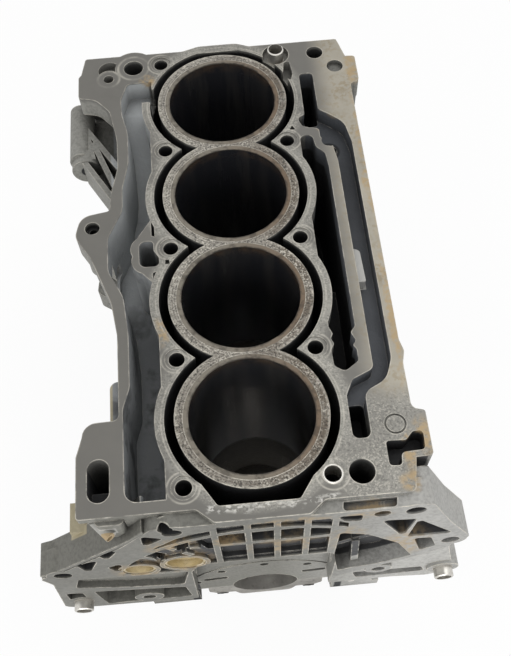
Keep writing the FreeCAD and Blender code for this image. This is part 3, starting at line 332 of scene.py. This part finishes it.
def readPlaces(tree):
    # what the masks ask about a point of the casting
    place = addNode(tree, "ShaderNodeTexCoord").outputs["Object"]
    facing = addNode(tree, "ShaderNodeNewGeometry").outputs["True Normal"]
    x, y, z = addNode(tree, "ShaderNodeSeparateXYZ", {}, {0: place}).outputs
    faceX, faceY, faceZ = addNode(tree, "ShaderNodeSeparateXYZ", {}, {0: facing}).outputs
    by = block["raggedBy"] * mm
    wobble = addNode(tree, "ShaderNodeTexNoise", {"Scale": 90.0, "Detail": 3.0}, {"Vector": place})
    shift = addNode(tree, "ShaderNodeVectorMath",
                    {"operation": "MULTIPLY_ADD", 1: (by,) * 3, 2: (-by / 2,) * 3},
                    {0: wobble.outputs["Color"]})
    ragged = addNode(tree, "ShaderNodeVectorMath", {"operation": "ADD"},
                     {0: place, 1: shift.outputs[0]}).outputs[0]

    # distance from the nearest cylinder axis
    flat = addNode(tree, "ShaderNodeVectorMath", {"operation": "MULTIPLY", 1: (1, 1, 0)},
                   {0: place}).outputs[0]
    fromBore = None
    for name in cylinderNames:
        axis = (*mounts[name]["pos_m"][:2], 0)
        away = addNode(tree, "ShaderNodeVectorMath", {"operation": "DISTANCE", 1: axis},
                       {0: flat}).outputs["Value"]
        fromBore = away if fromBore is None else addNode(
            tree, "ShaderNodeMath", {"operation": "MINIMUM"}, {0: fromBore, 1: away}).outputs[0]

    # distance from the nearest head bolt hole: the rows repeat once a cylinder
    folded = addNode(tree, "ShaderNodeMath", {"operation": "ABSOLUTE"}, {0: x})
    row = addNode(tree, "ShaderNodeMath",
                  {"operation": "WRAP", 1: pitch / 2 * mm, 2: -pitch / 2 * mm}, {0: y})
    joined = addNode(tree, "ShaderNodeCombineXYZ", {}, {0: folded.outputs[0], 1: row.outputs[0]})
    fromBolt = addNode(tree, "ShaderNodeVectorMath",
                       {"operation": "DISTANCE", 1: (boltX * mm, 0, 0)},
                       {0: joined.outputs[0]}).outputs["Value"]

    # which faces were milled
    up = addNode(tree, "ShaderNodeMapRange", {1: 0.7, 2: 0.95}, {0: faceZ}).outputs[0]
    high = addNode(tree, "ShaderNodeMapRange", fade(block["headSkin"], deckZ, -1),
                   {0: z}).outputs[0]
    deck = overlap(tree, up, high)
    rearward = addNode(tree, "ShaderNodeMapRange", fade(block["flangeSkin"], flangeY),
                       {0: y}).outputs[0]
    backward = addNode(tree, "ShaderNodeMapRange", {1: -0.7, 2: -0.95}, {0: faceY}).outputs[0]
    milled = anyOf(tree, deck, overlap(tree, rearward, backward))

    # stretches between two places: the gearbox end, the near half, under the head face
    nearEnd = addNode(tree, "ShaderNodeMapRange", fade(block["fades"]["nearEnd"]),
                      {0: y}).outputs[0]
    nearHalf = addNode(tree, "ShaderNodeMapRange", fade(block["fades"]["nearHalf"]),
                       {0: y}).outputs[0]
    below = addNode(tree, "ShaderNodeMapRange", fade(block["underHead"], deckZ, -1),
                    {0: z}).outputs[0]
    return {"place": place, "ragged": ragged, "flat": flat, "facing": facing, "x": x, "y": y,
            "faceX": faceX, "faceY": faceY, "fromBore": fromBore, "fromBolt": fromBolt,
            "deck": deck, "backward": backward, "milled": milled, "nearEnd": nearEnd,
            "nearHalf": nearHalf, "below": below,
            "mottled": grain(tree, place, 14, 0.3, 0.7)}


def castSkin(tree, at):
    # as cast, with painted light from the right making the right of the gearbox end lighter
    place, nearEnd = at["place"], at["nearEnd"]
    colour = addNode(tree, "ShaderNodeMix", {"data_type": "RGBA", 6: fromHex(block["skinHex"]),
                                             7: fromHex(block["skinPaleHex"])},
                     {0: grain(tree, place, 30)}).outputs[2]
    rightSide = addNode(tree, "ShaderNodeMapRange", fade(block["fades"]["rightSide"]),
                        {0: at["x"]}).outputs[0]
    colour = coat(tree, colour, nearEnd, block["leftWingHex"], 0.8)
    # painted light from the right on the gearbox end
    colour = coat(tree, colour, overlap(tree, rightSide, nearEnd), block["litRightWingHex"], 0.9)
    colour = coat(tree, colour, zone(tree, at, "bracket"), block["bracketHex"], 0.85)
    colour = coat(tree, colour, zone(tree, at, "ear"), block["bracketHex"], 0.5)
    sand = grain(tree, place, block["grainSize"], 0.42, 0.66, 2.0)
    return coat(tree, colour, sand, block["grimeAndShadeHex"], 0.24)


def headFace(tree, at, colour):
    # milled faces: darker on the left and lighter on the right, where a tan stain lies under
    # painted light from the right; pale on the bolt wall
    place, deck, fromBore = at["place"], at["deck"], at["fromBore"]
    face = coat(tree, colour, deck, block["deckHex"])
    wall = addNode(tree, "ShaderNodeMapRange", fade(block["fades"]["boltWall"]),
                   {0: fromBore}).outputs[0]
    face = coat(tree, face, overlap(tree, wall, deck, grain(tree, place, 16, 0.25, 0.55)),
                block["wallHex"], 0.9)
    # the right strip: tan stain with painted light from the right
    strip = zone(tree, at, "rightStrip")
    face = coat(tree, face, overlap(tree, strip, deck), block["stripHex"], 0.95)
    freckles = overlap(tree, grain(tree, place, 1.4, 0.48, 0.6, 2.0),
                       grain(tree, at["ragged"], 13, 0.42, 0.6))
    face = coat(tree, face, overlap(tree, strip, deck, freckles), block["mottleHex"], 0.6)
    # painted light: the near right of the head face lighter, as if lit from the right
    nearRight = zone(tree, at, "nearRight")
    face = coat(tree, face, overlap(tree, nearRight, deck), block["wallHex"], 0.7)
    face = coat(tree, face, overlap(tree, at["mottled"], at["milled"]), block["skinHex"], 0.25)

    # the barrel tops: fine rings, scorched on the side away from the channel
    ring = addNode(tree, "ShaderNodeMapRange", fade(block["fades"]["barrelTop"]),
                   {0: fromBore}).outputs[0]
    ring = overlap(tree, ring, deck)
    face = coat(tree, face, ring, block["ringHex"], 0.9)
    sideways = addNode(tree, "ShaderNodeMapRange", fade(block["fades"]["scorchAcross"]),
                       {0: at["x"]}).outputs[0]
    face = coat(tree, face, overlap(tree, ring, sideways, grain(tree, place, 7, 0.3, 0.55)),
                block["scorchAndShadeHex"], 0.85)
    nearRing = addNode(tree, "ShaderNodeMapRange", fade(block["fades"]["scorchAlong"]),
                       {0: at["y"]}).outputs[0]
    face = coat(tree, face, overlap(tree, ring, nearRing), block["scorchAndShadeHex"], 0.45)
    turns = addNode(tree, "ShaderNodeMath",
                    {"operation": "MULTIPLY", 1: 2 * math.pi / (block["cutterPitch"] * mm)},
                    {0: fromBore})
    wave = addNode(tree, "ShaderNodeMath", {"operation": "SINE"}, {0: turns.outputs[0]})
    lines = addNode(tree, "ShaderNodeMapRange", {1: 0.1, 2: 0.8}, {0: wave.outputs[0]}).outputs[0]
    face = coat(tree, face, overlap(tree, lines, ring), block["scorchAndShadeHex"], 0.55)
    return gasketMarks(tree, at, face, wall, ring, nearRight)


def gasketMarks(tree, at, face, wall, ring, nearRight):
    # pale beads round the bolts and along the jacket, chips and dusty specks between
    place, deck = at["place"], at["deck"]
    patchy = grain(tree, place, 6, 0.34, 0.56)
    clumps = grain(tree, place, 18, 0.35, 0.6)
    around = {"bolt": at["fromBolt"], "bore": at["fromBore"]}
    beads = anyOf(tree, *[ringAt(tree, around[what], radius, half)
                          for what, radius, half in block["beads"]])
    face = coat(tree, face, overlap(tree, beads, deck, patchy), block["residueAndHighlightHex"], 0.42)
    for x, y, radius in block["holes"][:2]:
        fromHole = addNode(tree, "ShaderNodeVectorMath",
                           {"operation": "DISTANCE", 1: (x * mm, y * mm, 0)},
                           {0: at["flat"]}).outputs["Value"]
        trace = ringAt(tree, fromHole, radius + block["holeBead"], 0.7, 0.7)
        face = coat(tree, face, overlap(tree, trace, deck, patchy, clumps),
                    block["residueAndHighlightHex"], 0.5)
    chips = overlap(tree, deck, within(tree, at["ragged"], *block["zones"]["chippedEdge"]),
                    grain(tree, place, 0.9, 0.5, 0.6, 2.0, (0.6, 1, 1)))
    face = coat(tree, face, chips, block["chipHex"], 0.6)
    thin = addNode(tree, "ShaderNodeMath", {"operation": "MULTIPLY", 1: 0.45},
                   {0: wall}).outputs[0]
    faint = addNode(tree, "ShaderNodeMath", {"operation": "MULTIPLY", 1: 0.5},
                    {0: nearRight}).outputs[0]
    dustZone = anyOf(tree, ring, thin, faint)
    pale = grain(tree, place, block["speckSize"], 0.52, 0.62, 1.5)
    dark = grain(tree, at["ragged"], block["speckSize"] + 0.1, 0.53, 0.63, 1.5)
    face = coat(tree, face, overlap(tree, pale, deck, dustZone, clumps), block["residueAndHighlightHex"], 0.7)
    return coat(tree, face, overlap(tree, dark, deck, dustZone), block["grimeAndShadeHex"], 0.68)


def hollows(tree, at, face):
    # painted shade makes the jacket, the deep pockets and the holes near black; the channels are a
    # cool grey
    below, nearHalf = at["below"], at["nearHalf"]
    # at the timing end only the jacket's own wall, not the outside of the casting
    turned = addNode(tree, "ShaderNodeMapRange", {1: 0.8, 2: 0.5}, {0: at["faceY"]}).outputs[0]
    jacket = overlap(tree, ringAt(tree, at["fromBore"], block["jacketMiddle"],
                                  block["jacketHalf"], 0.2), below,
                     anyOf(tree, zone(tree, at, "jacket"),
                           overlap(tree, zone(tree, at, "jacketEnd"), turned)))
    inner = addNode(tree, "ShaderNodeMapRange", {1: -0.6, 2: -0.3}, {0: at["faceX"]}).outputs[0]
    channel = overlap(tree, zone(tree, at, "channel"),
                      anyOf(tree, inner, zone(tree, at, "boltWall")))
    groove = zone(tree, at, "groove")
    face = coat(tree, face, channel, block["channelHex"], 0.9)
    # the channel darker in its near, deeper half
    face = coat(tree, face, overlap(tree, channel, nearHalf), block["channelDeepHex"], 0.6)
    face = coat(tree, face, groove, block["grooveHex"], 0.95)
    face = coat(tree, face, overlap(tree, groove, nearHalf), block["grooveNearHex"], 0.8)
    # painted shade on the floors of the two slots
    slots = anyOf(tree, zone(tree, at, "leftSlot"), zone(tree, at, "rightSlot"))
    face = coat(tree, face, slots, block["pocketShadeHex"], 0.9)
    # the channel darker in its near, deeper half
    channelNearDark = overlap(tree, channel, nearHalf, grain(tree, at["place"], 12, 0.5, 0.62))
    face = coat(tree, face, channelNearDark, block["grimeAndShadeHex"], 0.6)
    # painted shade: a dark disc on the groove floor stands for a round hole there
    cup = overlap(tree, groove, blot(tree, at["flat"], *block["grooveCup"], 0.15))
    face = coat(tree, face, cup, block["hollowShadeHex"], 0.95)

    # painted shade down the bolt holes and the head face holes, with the jacket and the deep
    # pockets
    holes = [ringAt(tree, at["fromBolt"], 0, block["boltHole"], 0.2)]
    for x, y, radius in block["holes"]:
        size = radius + 0.3
        holes.append(blot(tree, at["flat"], (x, y, 0), (size, size, 99), 0.06))
    deep = anyOf(tree, jacket, zone(tree, at, "jacketCorner"), zone(tree, at, "pocket"),
                 overlap(tree, anyOf(tree, *holes), below))
    face = coat(tree, face, deep, block["hollowShadeHex"], 0.97)
    well = overlap(tree, below, blot(tree, at["flat"], *block["frontDowel"], 0.06))
    face = coat(tree, face, anyOf(tree, zone(tree, at, "wellFloor"), well), block["wallHex"], 0.9)
    # painted shade inside the crankcase
    return coat(tree, face, zone(tree, at, "crankcase"), block["scorchAndShadeHex"], 0.5)


def flangePockets(tree, at, face):
    # painted shade behind the milled face, and only inside the sloped edges of the flange
    inside = {}
    for name, (across, start, full) in block["slopes"].items():
        span = addNode(tree, "ShaderNodeVectorMath", {"operation": "DOT_PRODUCT", 1: across},
                       {0: at["place"]})
        inside[name] = addNode(tree, "ShaderNodeMapRange", fade((start, full)),
                               {0: span.outputs["Value"]}).outputs[0]
    sunk = anyOf(tree, zone(tree, at, "flangeLeft"), zone(tree, at, "flangeMiddle"),
                 overlap(tree, zone(tree, at, "flangeRight"), inside["lowerRight"]),
                 zone(tree, at, "archBack"))
    return coat(tree, face, overlap(tree, sunk, inside["left"], inside["right"]),
                block["pocketShadeHex"], 0.9)


def grimeShadeAndEdges(tree, at, face):
    # grime and painted shade in the corners; pale edges, partly bare metal and partly painted
    # highlight
    place = at["place"]
    # painted shade with grime, wherever the casting is closed in
    closed = addNode(tree, "ShaderNodeAmbientOcclusion",
                     {"samples": 6, "Distance": block["crevice"] * mm}).outputs["AO"]
    shut = addNode(tree, "ShaderNodeMapRange", {1: 0.66, 2: 0.3}, {0: closed}).outputs[0]
    face = coat(tree, face, shut, block["grimeAndShadeHex"], 0.6)
    face = coat(tree, face, zone(tree, at, "crescent"), block["deckHex"], 0.75)
    # pale edges, partly wear and partly painted highlight
    rounded = addNode(tree, "ShaderNodeBevel", {"samples": 8, "Radius": block["edgeWidth"] * mm})
    agree = addNode(tree, "ShaderNodeVectorMath", {"operation": "DOT_PRODUCT"},
                    {0: rounded.outputs[0], 1: at["facing"]})
    edge = addNode(tree, "ShaderNodeMapRange", {1: 0.985, 2: 0.90},
                   {0: agree.outputs["Value"]}).outputs[0]
    exposed = addNode(tree, "ShaderNodeMapRange", {1: 0.35, 2: 0.65}, {0: closed}).outputs[0]
    wornAndLitEdge = overlap(tree, edge, exposed, grain(tree, place, 3, 0.36, 0.56),
                   grain(tree, place, 20, 0.25, 0.55))
    strength = addNode(tree, "ShaderNodeMapRange", {3: 0.6, 4: 1.0},
                       {0: at["nearEnd"]}).outputs[0]
    return coat(tree, face, overlap(tree, wornAndLitEdge, strength), block["residueAndHighlightHex"])


def stainsAndBoreShade(tree, at, face):
    dusty = grain(tree, at["place"], 2.4, 0.38, 0.56)
    for kind, share in (("tan", 0.8), ("golden", 0.65)):
        spots = anyOf(tree, *[blot(tree, at["ragged"], *spot) for spot in block[kind]])
        face = coat(tree, face, overlap(tree, spots, dusty), block["varnishHex"], share)
    for low, high, soft, colour, share in block["dabs"]:
        face = coat(tree, face, within(tree, at["place"], low, high, soft), block[colour], share)
    # painted shade: a dark disc on the end face of the bracket boss for its bore
    armBore = overlap(tree, blot(tree, at["place"], *block["armBore"], 0.1), at["backward"])
    return coat(tree, face, armBore, block["hollowShadeHex"], 0.97)


def blockFinish():
    mat, tree, shader = newFinish("dieCastAluminium")
    at = readPlaces(tree)
    face = headFace(tree, at, castSkin(tree, at))
    face = flangePockets(tree, at, hollows(tree, at, face))
    face = stainsAndBoreShade(tree, at, grimeShadeAndEdges(tree, at, face))
    tree.links.new(face, shader.inputs["Base Color"])

    # surface: sandy where cast, faint cutter lines where milled
    place, milled = at["place"], at["milled"]
    metal = addNode(tree, "ShaderNodeMapRange", {3: 0.3, 4: 0.6}, {0: milled})
    tree.links.new(metal.outputs[0], shader.inputs["Metallic"])
    satin = addNode(tree, "ShaderNodeMapRange", {3: 0.6, 4: 0.42}, {0: milled})
    rough = addNode(tree, "ShaderNodeMath", {"operation": "MULTIPLY_ADD", 1: 0.14},
                    {0: at["mottled"], 2: satin.outputs[0]})
    tree.links.new(rough.outputs[0], shader.inputs["Roughness"])
    fine = grain(tree, place, block["grainSize"] * 2.0, 0.3, 0.7, 2.0)
    cutter = grain(tree, place, block["cutterTrack"], 0.3, 0.7, 3.0, (0.12, 1.6, 1.0))
    relief = addNode(tree, "ShaderNodeMix", {"data_type": "FLOAT"},
                     {0: milled, 2: fine, 3: cutter})
    soften = addNode(tree, "ShaderNodeMapRange", {3: 0.45, 4: 0.1}, {0: milled})
    bump = addNode(tree, "ShaderNodeBump", {"Distance": 0.5 * mm},
                   {"Height": relief.outputs[0], "Strength": soften.outputs[0]})
    tree.links.new(bump.outputs[0], shader.inputs["Normal"])
    dress(mat, "cylinder_block")


blockFinish()
print("block finished")

# cast webs that close the gaps beside the brackets, and the rim over the flange pockets
webs = {
    # millimetres
    "thickness": 3.0,
    "edgeRound": 0.8,
    # corners in plan with the height of the underside
    "bracket_web": {"corners": [(-77, 171), (-103, 171), (-104, 112), (-96, 92), (-76, 60)],
                    "height": 161.0},
    "ear_web": {"corners": [(-76, 44), (-89, 42), (-97, 22), (-98, 4), (-76, -22)],
                "height": 151.0},
    # line of the left shoulder of the flange, as x and z
    "rimLine": [(-66, 200), (-74, 188.5), (-84, 178), (-100, 163), (-118, 146.2), (-133, 132),
                (-141, 128)],
    "rimDepth": 22.5,
    "rimInset": 0.1,     # behind the milled face
    "rimSlant": (0.3, -1.4),
}


def addWeb(name, sections):
    # a closed skin through equal rings of points
    mesh = bpy.data.meshes.new(name)
    shape = bmesh.new()
    rings = [[shape.verts.new(Vector(p) * mm) for p in ring] for ring in sections]
    count = len(rings[0])
    for a, b in zip(rings[:-1], rings[1:]):
        for k in range(count):
            shape.faces.new((a[k], a[(k + 1) % count], b[(k + 1) % count], b[k]))
    shape.faces.new(rings[0][::-1])
    shape.faces.new(rings[-1])
    bmesh.ops.recalc_face_normals(shape, faces=shape.faces)
    shape.to_mesh(mesh)
    shape.free()
    obj = bpy.data.objects.new(name, mesh)
    bpy.context.collection.objects.link(obj)
    soft = obj.modifiers.new("castEdge", "BEVEL")
    soft.width = webs["edgeRound"] * mm
    soft.segments = 2
    obj.data.materials.append(bpy.data.materials["dieCastAluminium"])
    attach(obj, "root")


def addWebs():
    thick = webs["thickness"]
    for name in ("bracket_web", "ear_web"):
        web = webs[name]
        addWeb(name, [[(x, y, web["height"] + lift) for x, y in web["corners"]]
                      for lift in (0, thick)])
    front, back = flangeY + webs["rimInset"], flangeY + webs["rimDepth"]
    low, high = webs["rimSlant"]
    # its top leans outwards, so that the rim keeps its thickness along the slope
    rim = [[(x + low, front, z - thick / 2), (x + low, back, z - thick / 2),
            (x + high, back, z + thick / 2), (x + high, front, z + thick / 2)]
           for x, z in webs["rimLine"]]
    addWeb("flange_rim", rim)


addWebs()
print("webs added")

# grey cast iron liners, honed inside: near-black gloss below, painted near black for the dark
# inside the block that the bores reflect, and a rusty rim at the top
liner = {
    # painted reflection: near black, for the dark inside of the block that the bore mirrors
    "boreReflectionHex": "2f3034",
    "streakHex": "4a4846",
    "rimHex": "7d776c",
    "rustHex": "6b5743",
    "carbonHex": "2a2622",
    "boreSheenHex": "807a74",    # painted highlight: bright streaks on the far wall of the nearest bore
    "honeAngle": 30.0,   # degrees from level
    "honePitch": 1.6,    # mm; real marks are finer than a tenth and wouldn't show
    # where each band starts and is full, mm under the head face
    "rustBand": (9.0, 2.5),
    "rimBand": (0.9, 0.3),
    "crustSpan": (0.478, 0.466),   # inner edge of the rim, as a share of the liner's width
    # painted highlight streaks: two corners and border in mm
    "sheenStreaks": [((-17, -100, 92), (-9, -70, 176), 3), ((-4, -100, 80), (9, -70, 168), 6)],
}


def linerFinish():
    mat, tree, shader = newFinish("honedCastIron")
    coords = addNode(tree, "ShaderNodeTexCoord")
    place = coords.outputs["Object"]
    inBox = addNode(tree, "ShaderNodeVectorMath", {"operation": "SUBTRACT", 1: (0.5, 0.5, 0.5)},
                    {0: coords.outputs["Generated"]})
    local = addNode(tree, "ShaderNodeSeparateXYZ", {}, {0: inBox.outputs[0]})
    axes = addNode(tree, "ShaderNodeSeparateXYZ", {}, {0: place})
    turn = addNode(tree, "ShaderNodeMath", {"operation": "ARCTAN2"},
                   {0: local.outputs[1], 1: local.outputs[0]})
    around = addNode(tree, "ShaderNodeMath", {"operation": "MULTIPLY", 1: boreRadius * mm},
                     {0: turn.outputs[0]})
    slope = math.tan(math.radians(liner["honeAngle"]))
    hone = []
    for sign in (1, -1):
        along = addNode(tree, "ShaderNodeMath", {"operation": "MULTIPLY_ADD", 1: sign * slope},
                        {0: around.outputs[0], 2: axes.outputs[2]})
        waves = addNode(tree, "ShaderNodeMath",
                        {"operation": "MULTIPLY", 1: 2 * math.pi / (liner["honePitch"] * mm)},
                        {0: along.outputs[0]})
        hone.append(addNode(tree, "ShaderNodeMath", {"operation": "SINE"},
                            {0: waves.outputs[0]}).outputs[0])
    cross = addNode(tree, "ShaderNodeMath", {"operation": "ADD"}, {0: hone[0], 1: hone[1]})
    streaks = grain(tree, place, 6, 0.45, 0.75, 4.0, (1, 1, 0.12))
    colour = addNode(tree, "ShaderNodeMix",
                     {"data_type": "RGBA", 6: fromHex(liner["boreReflectionHex"]),
                      7: fromHex(liner["streakHex"])}, {0: streaks}).outputs[2]
    top = addNode(tree, "ShaderNodeMapRange", fade(liner["rustBand"], deckZ, -1),
                  {0: axes.outputs[2]}).outputs[0]
    patches = grain(tree, place, 5, 0.4, 0.6)
    colour = coat(tree, colour, overlap(tree, top, patches), liner["rustHex"], 0.45)
    rim = addNode(tree, "ShaderNodeMapRange", fade(liner["rimBand"], deckZ, -1),
                  {0: axes.outputs[2]}).outputs[0]
    colour = coat(tree, colour, rim, liner["rimHex"])
    sideways = addNode(tree, "ShaderNodeMapRange", {1: -0.1, 2: 0.45},
                       {0: local.outputs[0]}).outputs[0]
    colour = coat(tree, colour, overlap(tree, rim, sideways), liner["rustHex"], 0.75)
    level = addNode(tree, "ShaderNodeVectorMath", {"operation": "MULTIPLY", 1: (1, 1, 0)},
                    {0: inBox.outputs[0]})
    span = addNode(tree, "ShaderNodeVectorMath", {"operation": "LENGTH"}, {0: level.outputs[0]})
    outer, inner = liner["crustSpan"]
    edge = addNode(tree, "ShaderNodeMapRange", {1: outer, 2: inner},
                   {0: span.outputs["Value"]}).outputs[0]
    crust = overlap(tree, rim, grain(tree, place, 5, 0.42, 0.56, 3.0), edge)
    colour = coat(tree, colour, crust, liner["carbonHex"], 0.75)
    # painted highlight on the far wall of the nearest bore
    narrow, wide = [within(tree, place, *streak) for streak in liner["sheenStreaks"]]
    sheenStreaks = anyOf(tree, overlap(tree, narrow, grain(tree, place, 5, 0.3, 0.6, 3.0, (1, 1, 0.2))),
                  wide)
    colour = coat(tree, colour, sheenStreaks, liner["boreSheenHex"], 0.5)
    colour = coat(tree, colour, overlap(tree, rim, grain(tree, place, 2.4, 0.5, 0.62)),
                  liner["carbonHex"], 0.5)
    tree.links.new(colour, shader.inputs["Base Color"])
    shader.inputs["Metallic"].default_value = 0.5
    rough = addNode(tree, "ShaderNodeMapRange", {3: 0.25, 4: 0.5}, {0: rim})
    tree.links.new(rough.outputs[0], shader.inputs["Roughness"])
    bump = addNode(tree, "ShaderNodeBump", {"Strength": 0.05, "Distance": 0.1 * mm},
                   {"Height": cross.outputs[0]})
    tree.links.new(bump.outputs[0], shader.inputs["Normal"])
    dress(mat, *["cylinder_liner_%d" % k for k in range(1, 5)])


linerFinish()
print("liners finished")

# the other metals: each has its colour, a second colour in patches and its own grain
metals = {
    # ductile iron caps, sand-cast and milled: dull brown-grey with oil in the pores
    "ductileIron": {"hex": "8a8782", "patchHex": "a5a29b", "grimeAndShadeHex": "2a2725", "patch": 9,
                    "rough": 0.55, "metallic": 0.6, "grain": 1.2, "bump": 0.3,
                    "nodes": ["main_bearing_cap_%d" % k for k in range(1, 6)]},
    # phosphated bolt steel: dark, dull and slightly oily
    "phosphatedSteel": {"hex": "3d3c3a", "patchHex": "54524e", "grimeAndShadeHex": "1a1918", "patch": 4,
                        "rough": 0.5, "metallic": 0.7, "grain": 0.8, "bump": 0.15,
                        "nodes": ["main_cap_bolt_%d_%s" % (k, side)
                                  for k in range(1, 6) for side in ("left", "right")]},
    # ground spring steel: bright, with a few rusty freckles
    "groundSteel": {"hex": "cfccc5", "patchHex": "e0ddd6", "grimeAndShadeHex": "6d5f4c", "patch": 5,
                    "rough": 0.3, "metallic": 0.9, "grain": 0.6, "bump": 0.05,
                    "nodes": ["deck_dowel_front", "deck_dowel_rear", "gearbox_dowel_left",
                              "gearbox_dowel_right", "seal_carrier_pin_left",
                              "seal_carrier_pin_right"]},
    # zinc-plated plugs, yellow passivated: pale gold with dull patches
    "yellowZinc": {"hex": "c9ba94", "patchHex": "ddd3ba", "grimeAndShadeHex": "5c4a30", "patch": 6,
                   "rough": 0.4, "metallic": 0.9, "grain": 0.9, "bump": 0.08,
                   "nodes": ["core_plug_large", "core_plug_small"]},
    # bright zinc on the piston jets
    "brightZinc": {"hex": "b4b4ae", "patchHex": "c9c9c4", "grimeAndShadeHex": "5a564e", "patch": 4,
                   "rough": 0.35, "metallic": 1.0, "grain": 0.7, "bump": 0.05,
                   "nodes": ["piston_jet_%d" % k for k in range(1, 5)]},
}


def metalFinish(name, kind):
    mat, tree, shader = newFinish(name)
    place = addNode(tree, "ShaderNodeTexCoord").outputs["Object"]
    colour = addNode(tree, "ShaderNodeMix", {"data_type": "RGBA", 6: fromHex(kind["hex"]),
                                             7: fromHex(kind["patchHex"])},
                     {0: grain(tree, place, kind["patch"])}).outputs[2]
    # painted shade in the crevices, with grime in patches
    closed = addNode(tree, "ShaderNodeAmbientOcclusion", {"samples": 4, "Distance": 6 * mm})
    shut = addNode(tree, "ShaderNodeMapRange", {1: 0.8, 2: 0.3},
                   {0: closed.outputs["AO"]}).outputs[0]
    dirtAndShade = anyOf(tree, shut, overlap(tree, grain(tree, place, 2.2, 0.56, 0.68),
                                     grain(tree, place, 11, 0.4, 0.6)))
    colour = coat(tree, colour, dirtAndShade, kind["grimeAndShadeHex"], 0.6)
    tree.links.new(colour, shader.inputs["Base Color"])
    shader.inputs["Metallic"].default_value = kind["metallic"]
    rough = addNode(tree, "ShaderNodeMapRange", {3: kind["rough"], 4: kind["rough"] + 0.25},
                    {0: dirtAndShade})
    tree.links.new(rough.outputs[0], shader.inputs["Roughness"])
    fine = grain(tree, place, kind["grain"], 0.3, 0.7, 2.0)
    bump = addNode(tree, "ShaderNodeBump", {"Strength": kind["bump"], "Distance": 0.3 * mm},
                   {"Height": fine})
    tree.links.new(bump.outputs[0], shader.inputs["Normal"])
    dress(mat, *kind["nodes"])


for name, kind in metals.items():
    metalFinish(name, kind)
print("other metals finished")

# plain pale floor, white to the camera but for the shadow, under soft light
studio = {
    "floorHex": "f2f2f2",
    "floorGlow": 0.93,          # share of plain white that the camera sees in the floor
    "worldStrength": 0.76,
    "key": {"place": (0.55, 0.25, 1.25), "size": 0.9, "power": 2.4},
    "fill": {"place": (-0.2, -1.3, 0.4), "size": 1.2, "power": 11.0},
}


def addStudio():
    world = bpy.data.worlds.new("studio")
    bpy.context.scene.world = world
    world.use_nodes = True
    tree = world.node_tree
    sky = tree.nodes["Background"]
    sky.inputs[0].default_value = (1, 1, 1, 1)
    path = addNode(tree, "ShaderNodeLightPath")
    seen = anyOf(tree, path.outputs["Is Camera Ray"], path.outputs["Is Glossy Ray"],
                 path.outputs["Is Transmission Ray"])
    strength = addNode(tree, "ShaderNodeMapRange", {3: studio["worldStrength"], 4: 1.0}, {0: seen})
    tree.links.new(strength.outputs[0], sky.inputs[1])

    bpy.ops.mesh.primitive_plane_add(size=60, location=(0, 0, cadBox[0][2] - 0.2 * mm))
    floor = bpy.context.object
    floor.name = "floor"
    mat, tree, shader = newFinish("paleFloor")
    shader.inputs["Base Color"].default_value = fromHex(studio["floorHex"])
    shader.inputs["Roughness"].default_value = 0.8
    path = addNode(tree, "ShaderNodeLightPath")
    glow = addNode(tree, "ShaderNodeEmission", {"Strength": 1.0})
    share = addNode(tree, "ShaderNodeMath", {"operation": "MULTIPLY", 1: studio["floorGlow"]},
                    {0: path.outputs["Is Camera Ray"]})
    both = addNode(tree, "ShaderNodeMixShader", {}, {0: share.outputs[0], 1: shader.outputs[0],
                                                    2: glow.outputs[0]})
    tree.links.new(both.outputs[0], tree.nodes["Material Output"].inputs[0])
    floor.data.materials.append(mat)

    for name in ("key", "fill"):
        lamp = studio[name]
        data = bpy.data.lights.new(name, "AREA")
        data.size = lamp["size"]
        data.energy = lamp["power"]
        obj = bpy.data.objects.new(name, data)
        bpy.context.collection.objects.link(obj)
        obj.location = lamp["place"]
        aim = Vector((0, 0, 0.1)) - Vector(lamp["place"])
        obj.rotation_euler = aim.to_track_quat("-Z", "Y").to_euler()


addStudio()
print("studio lit")
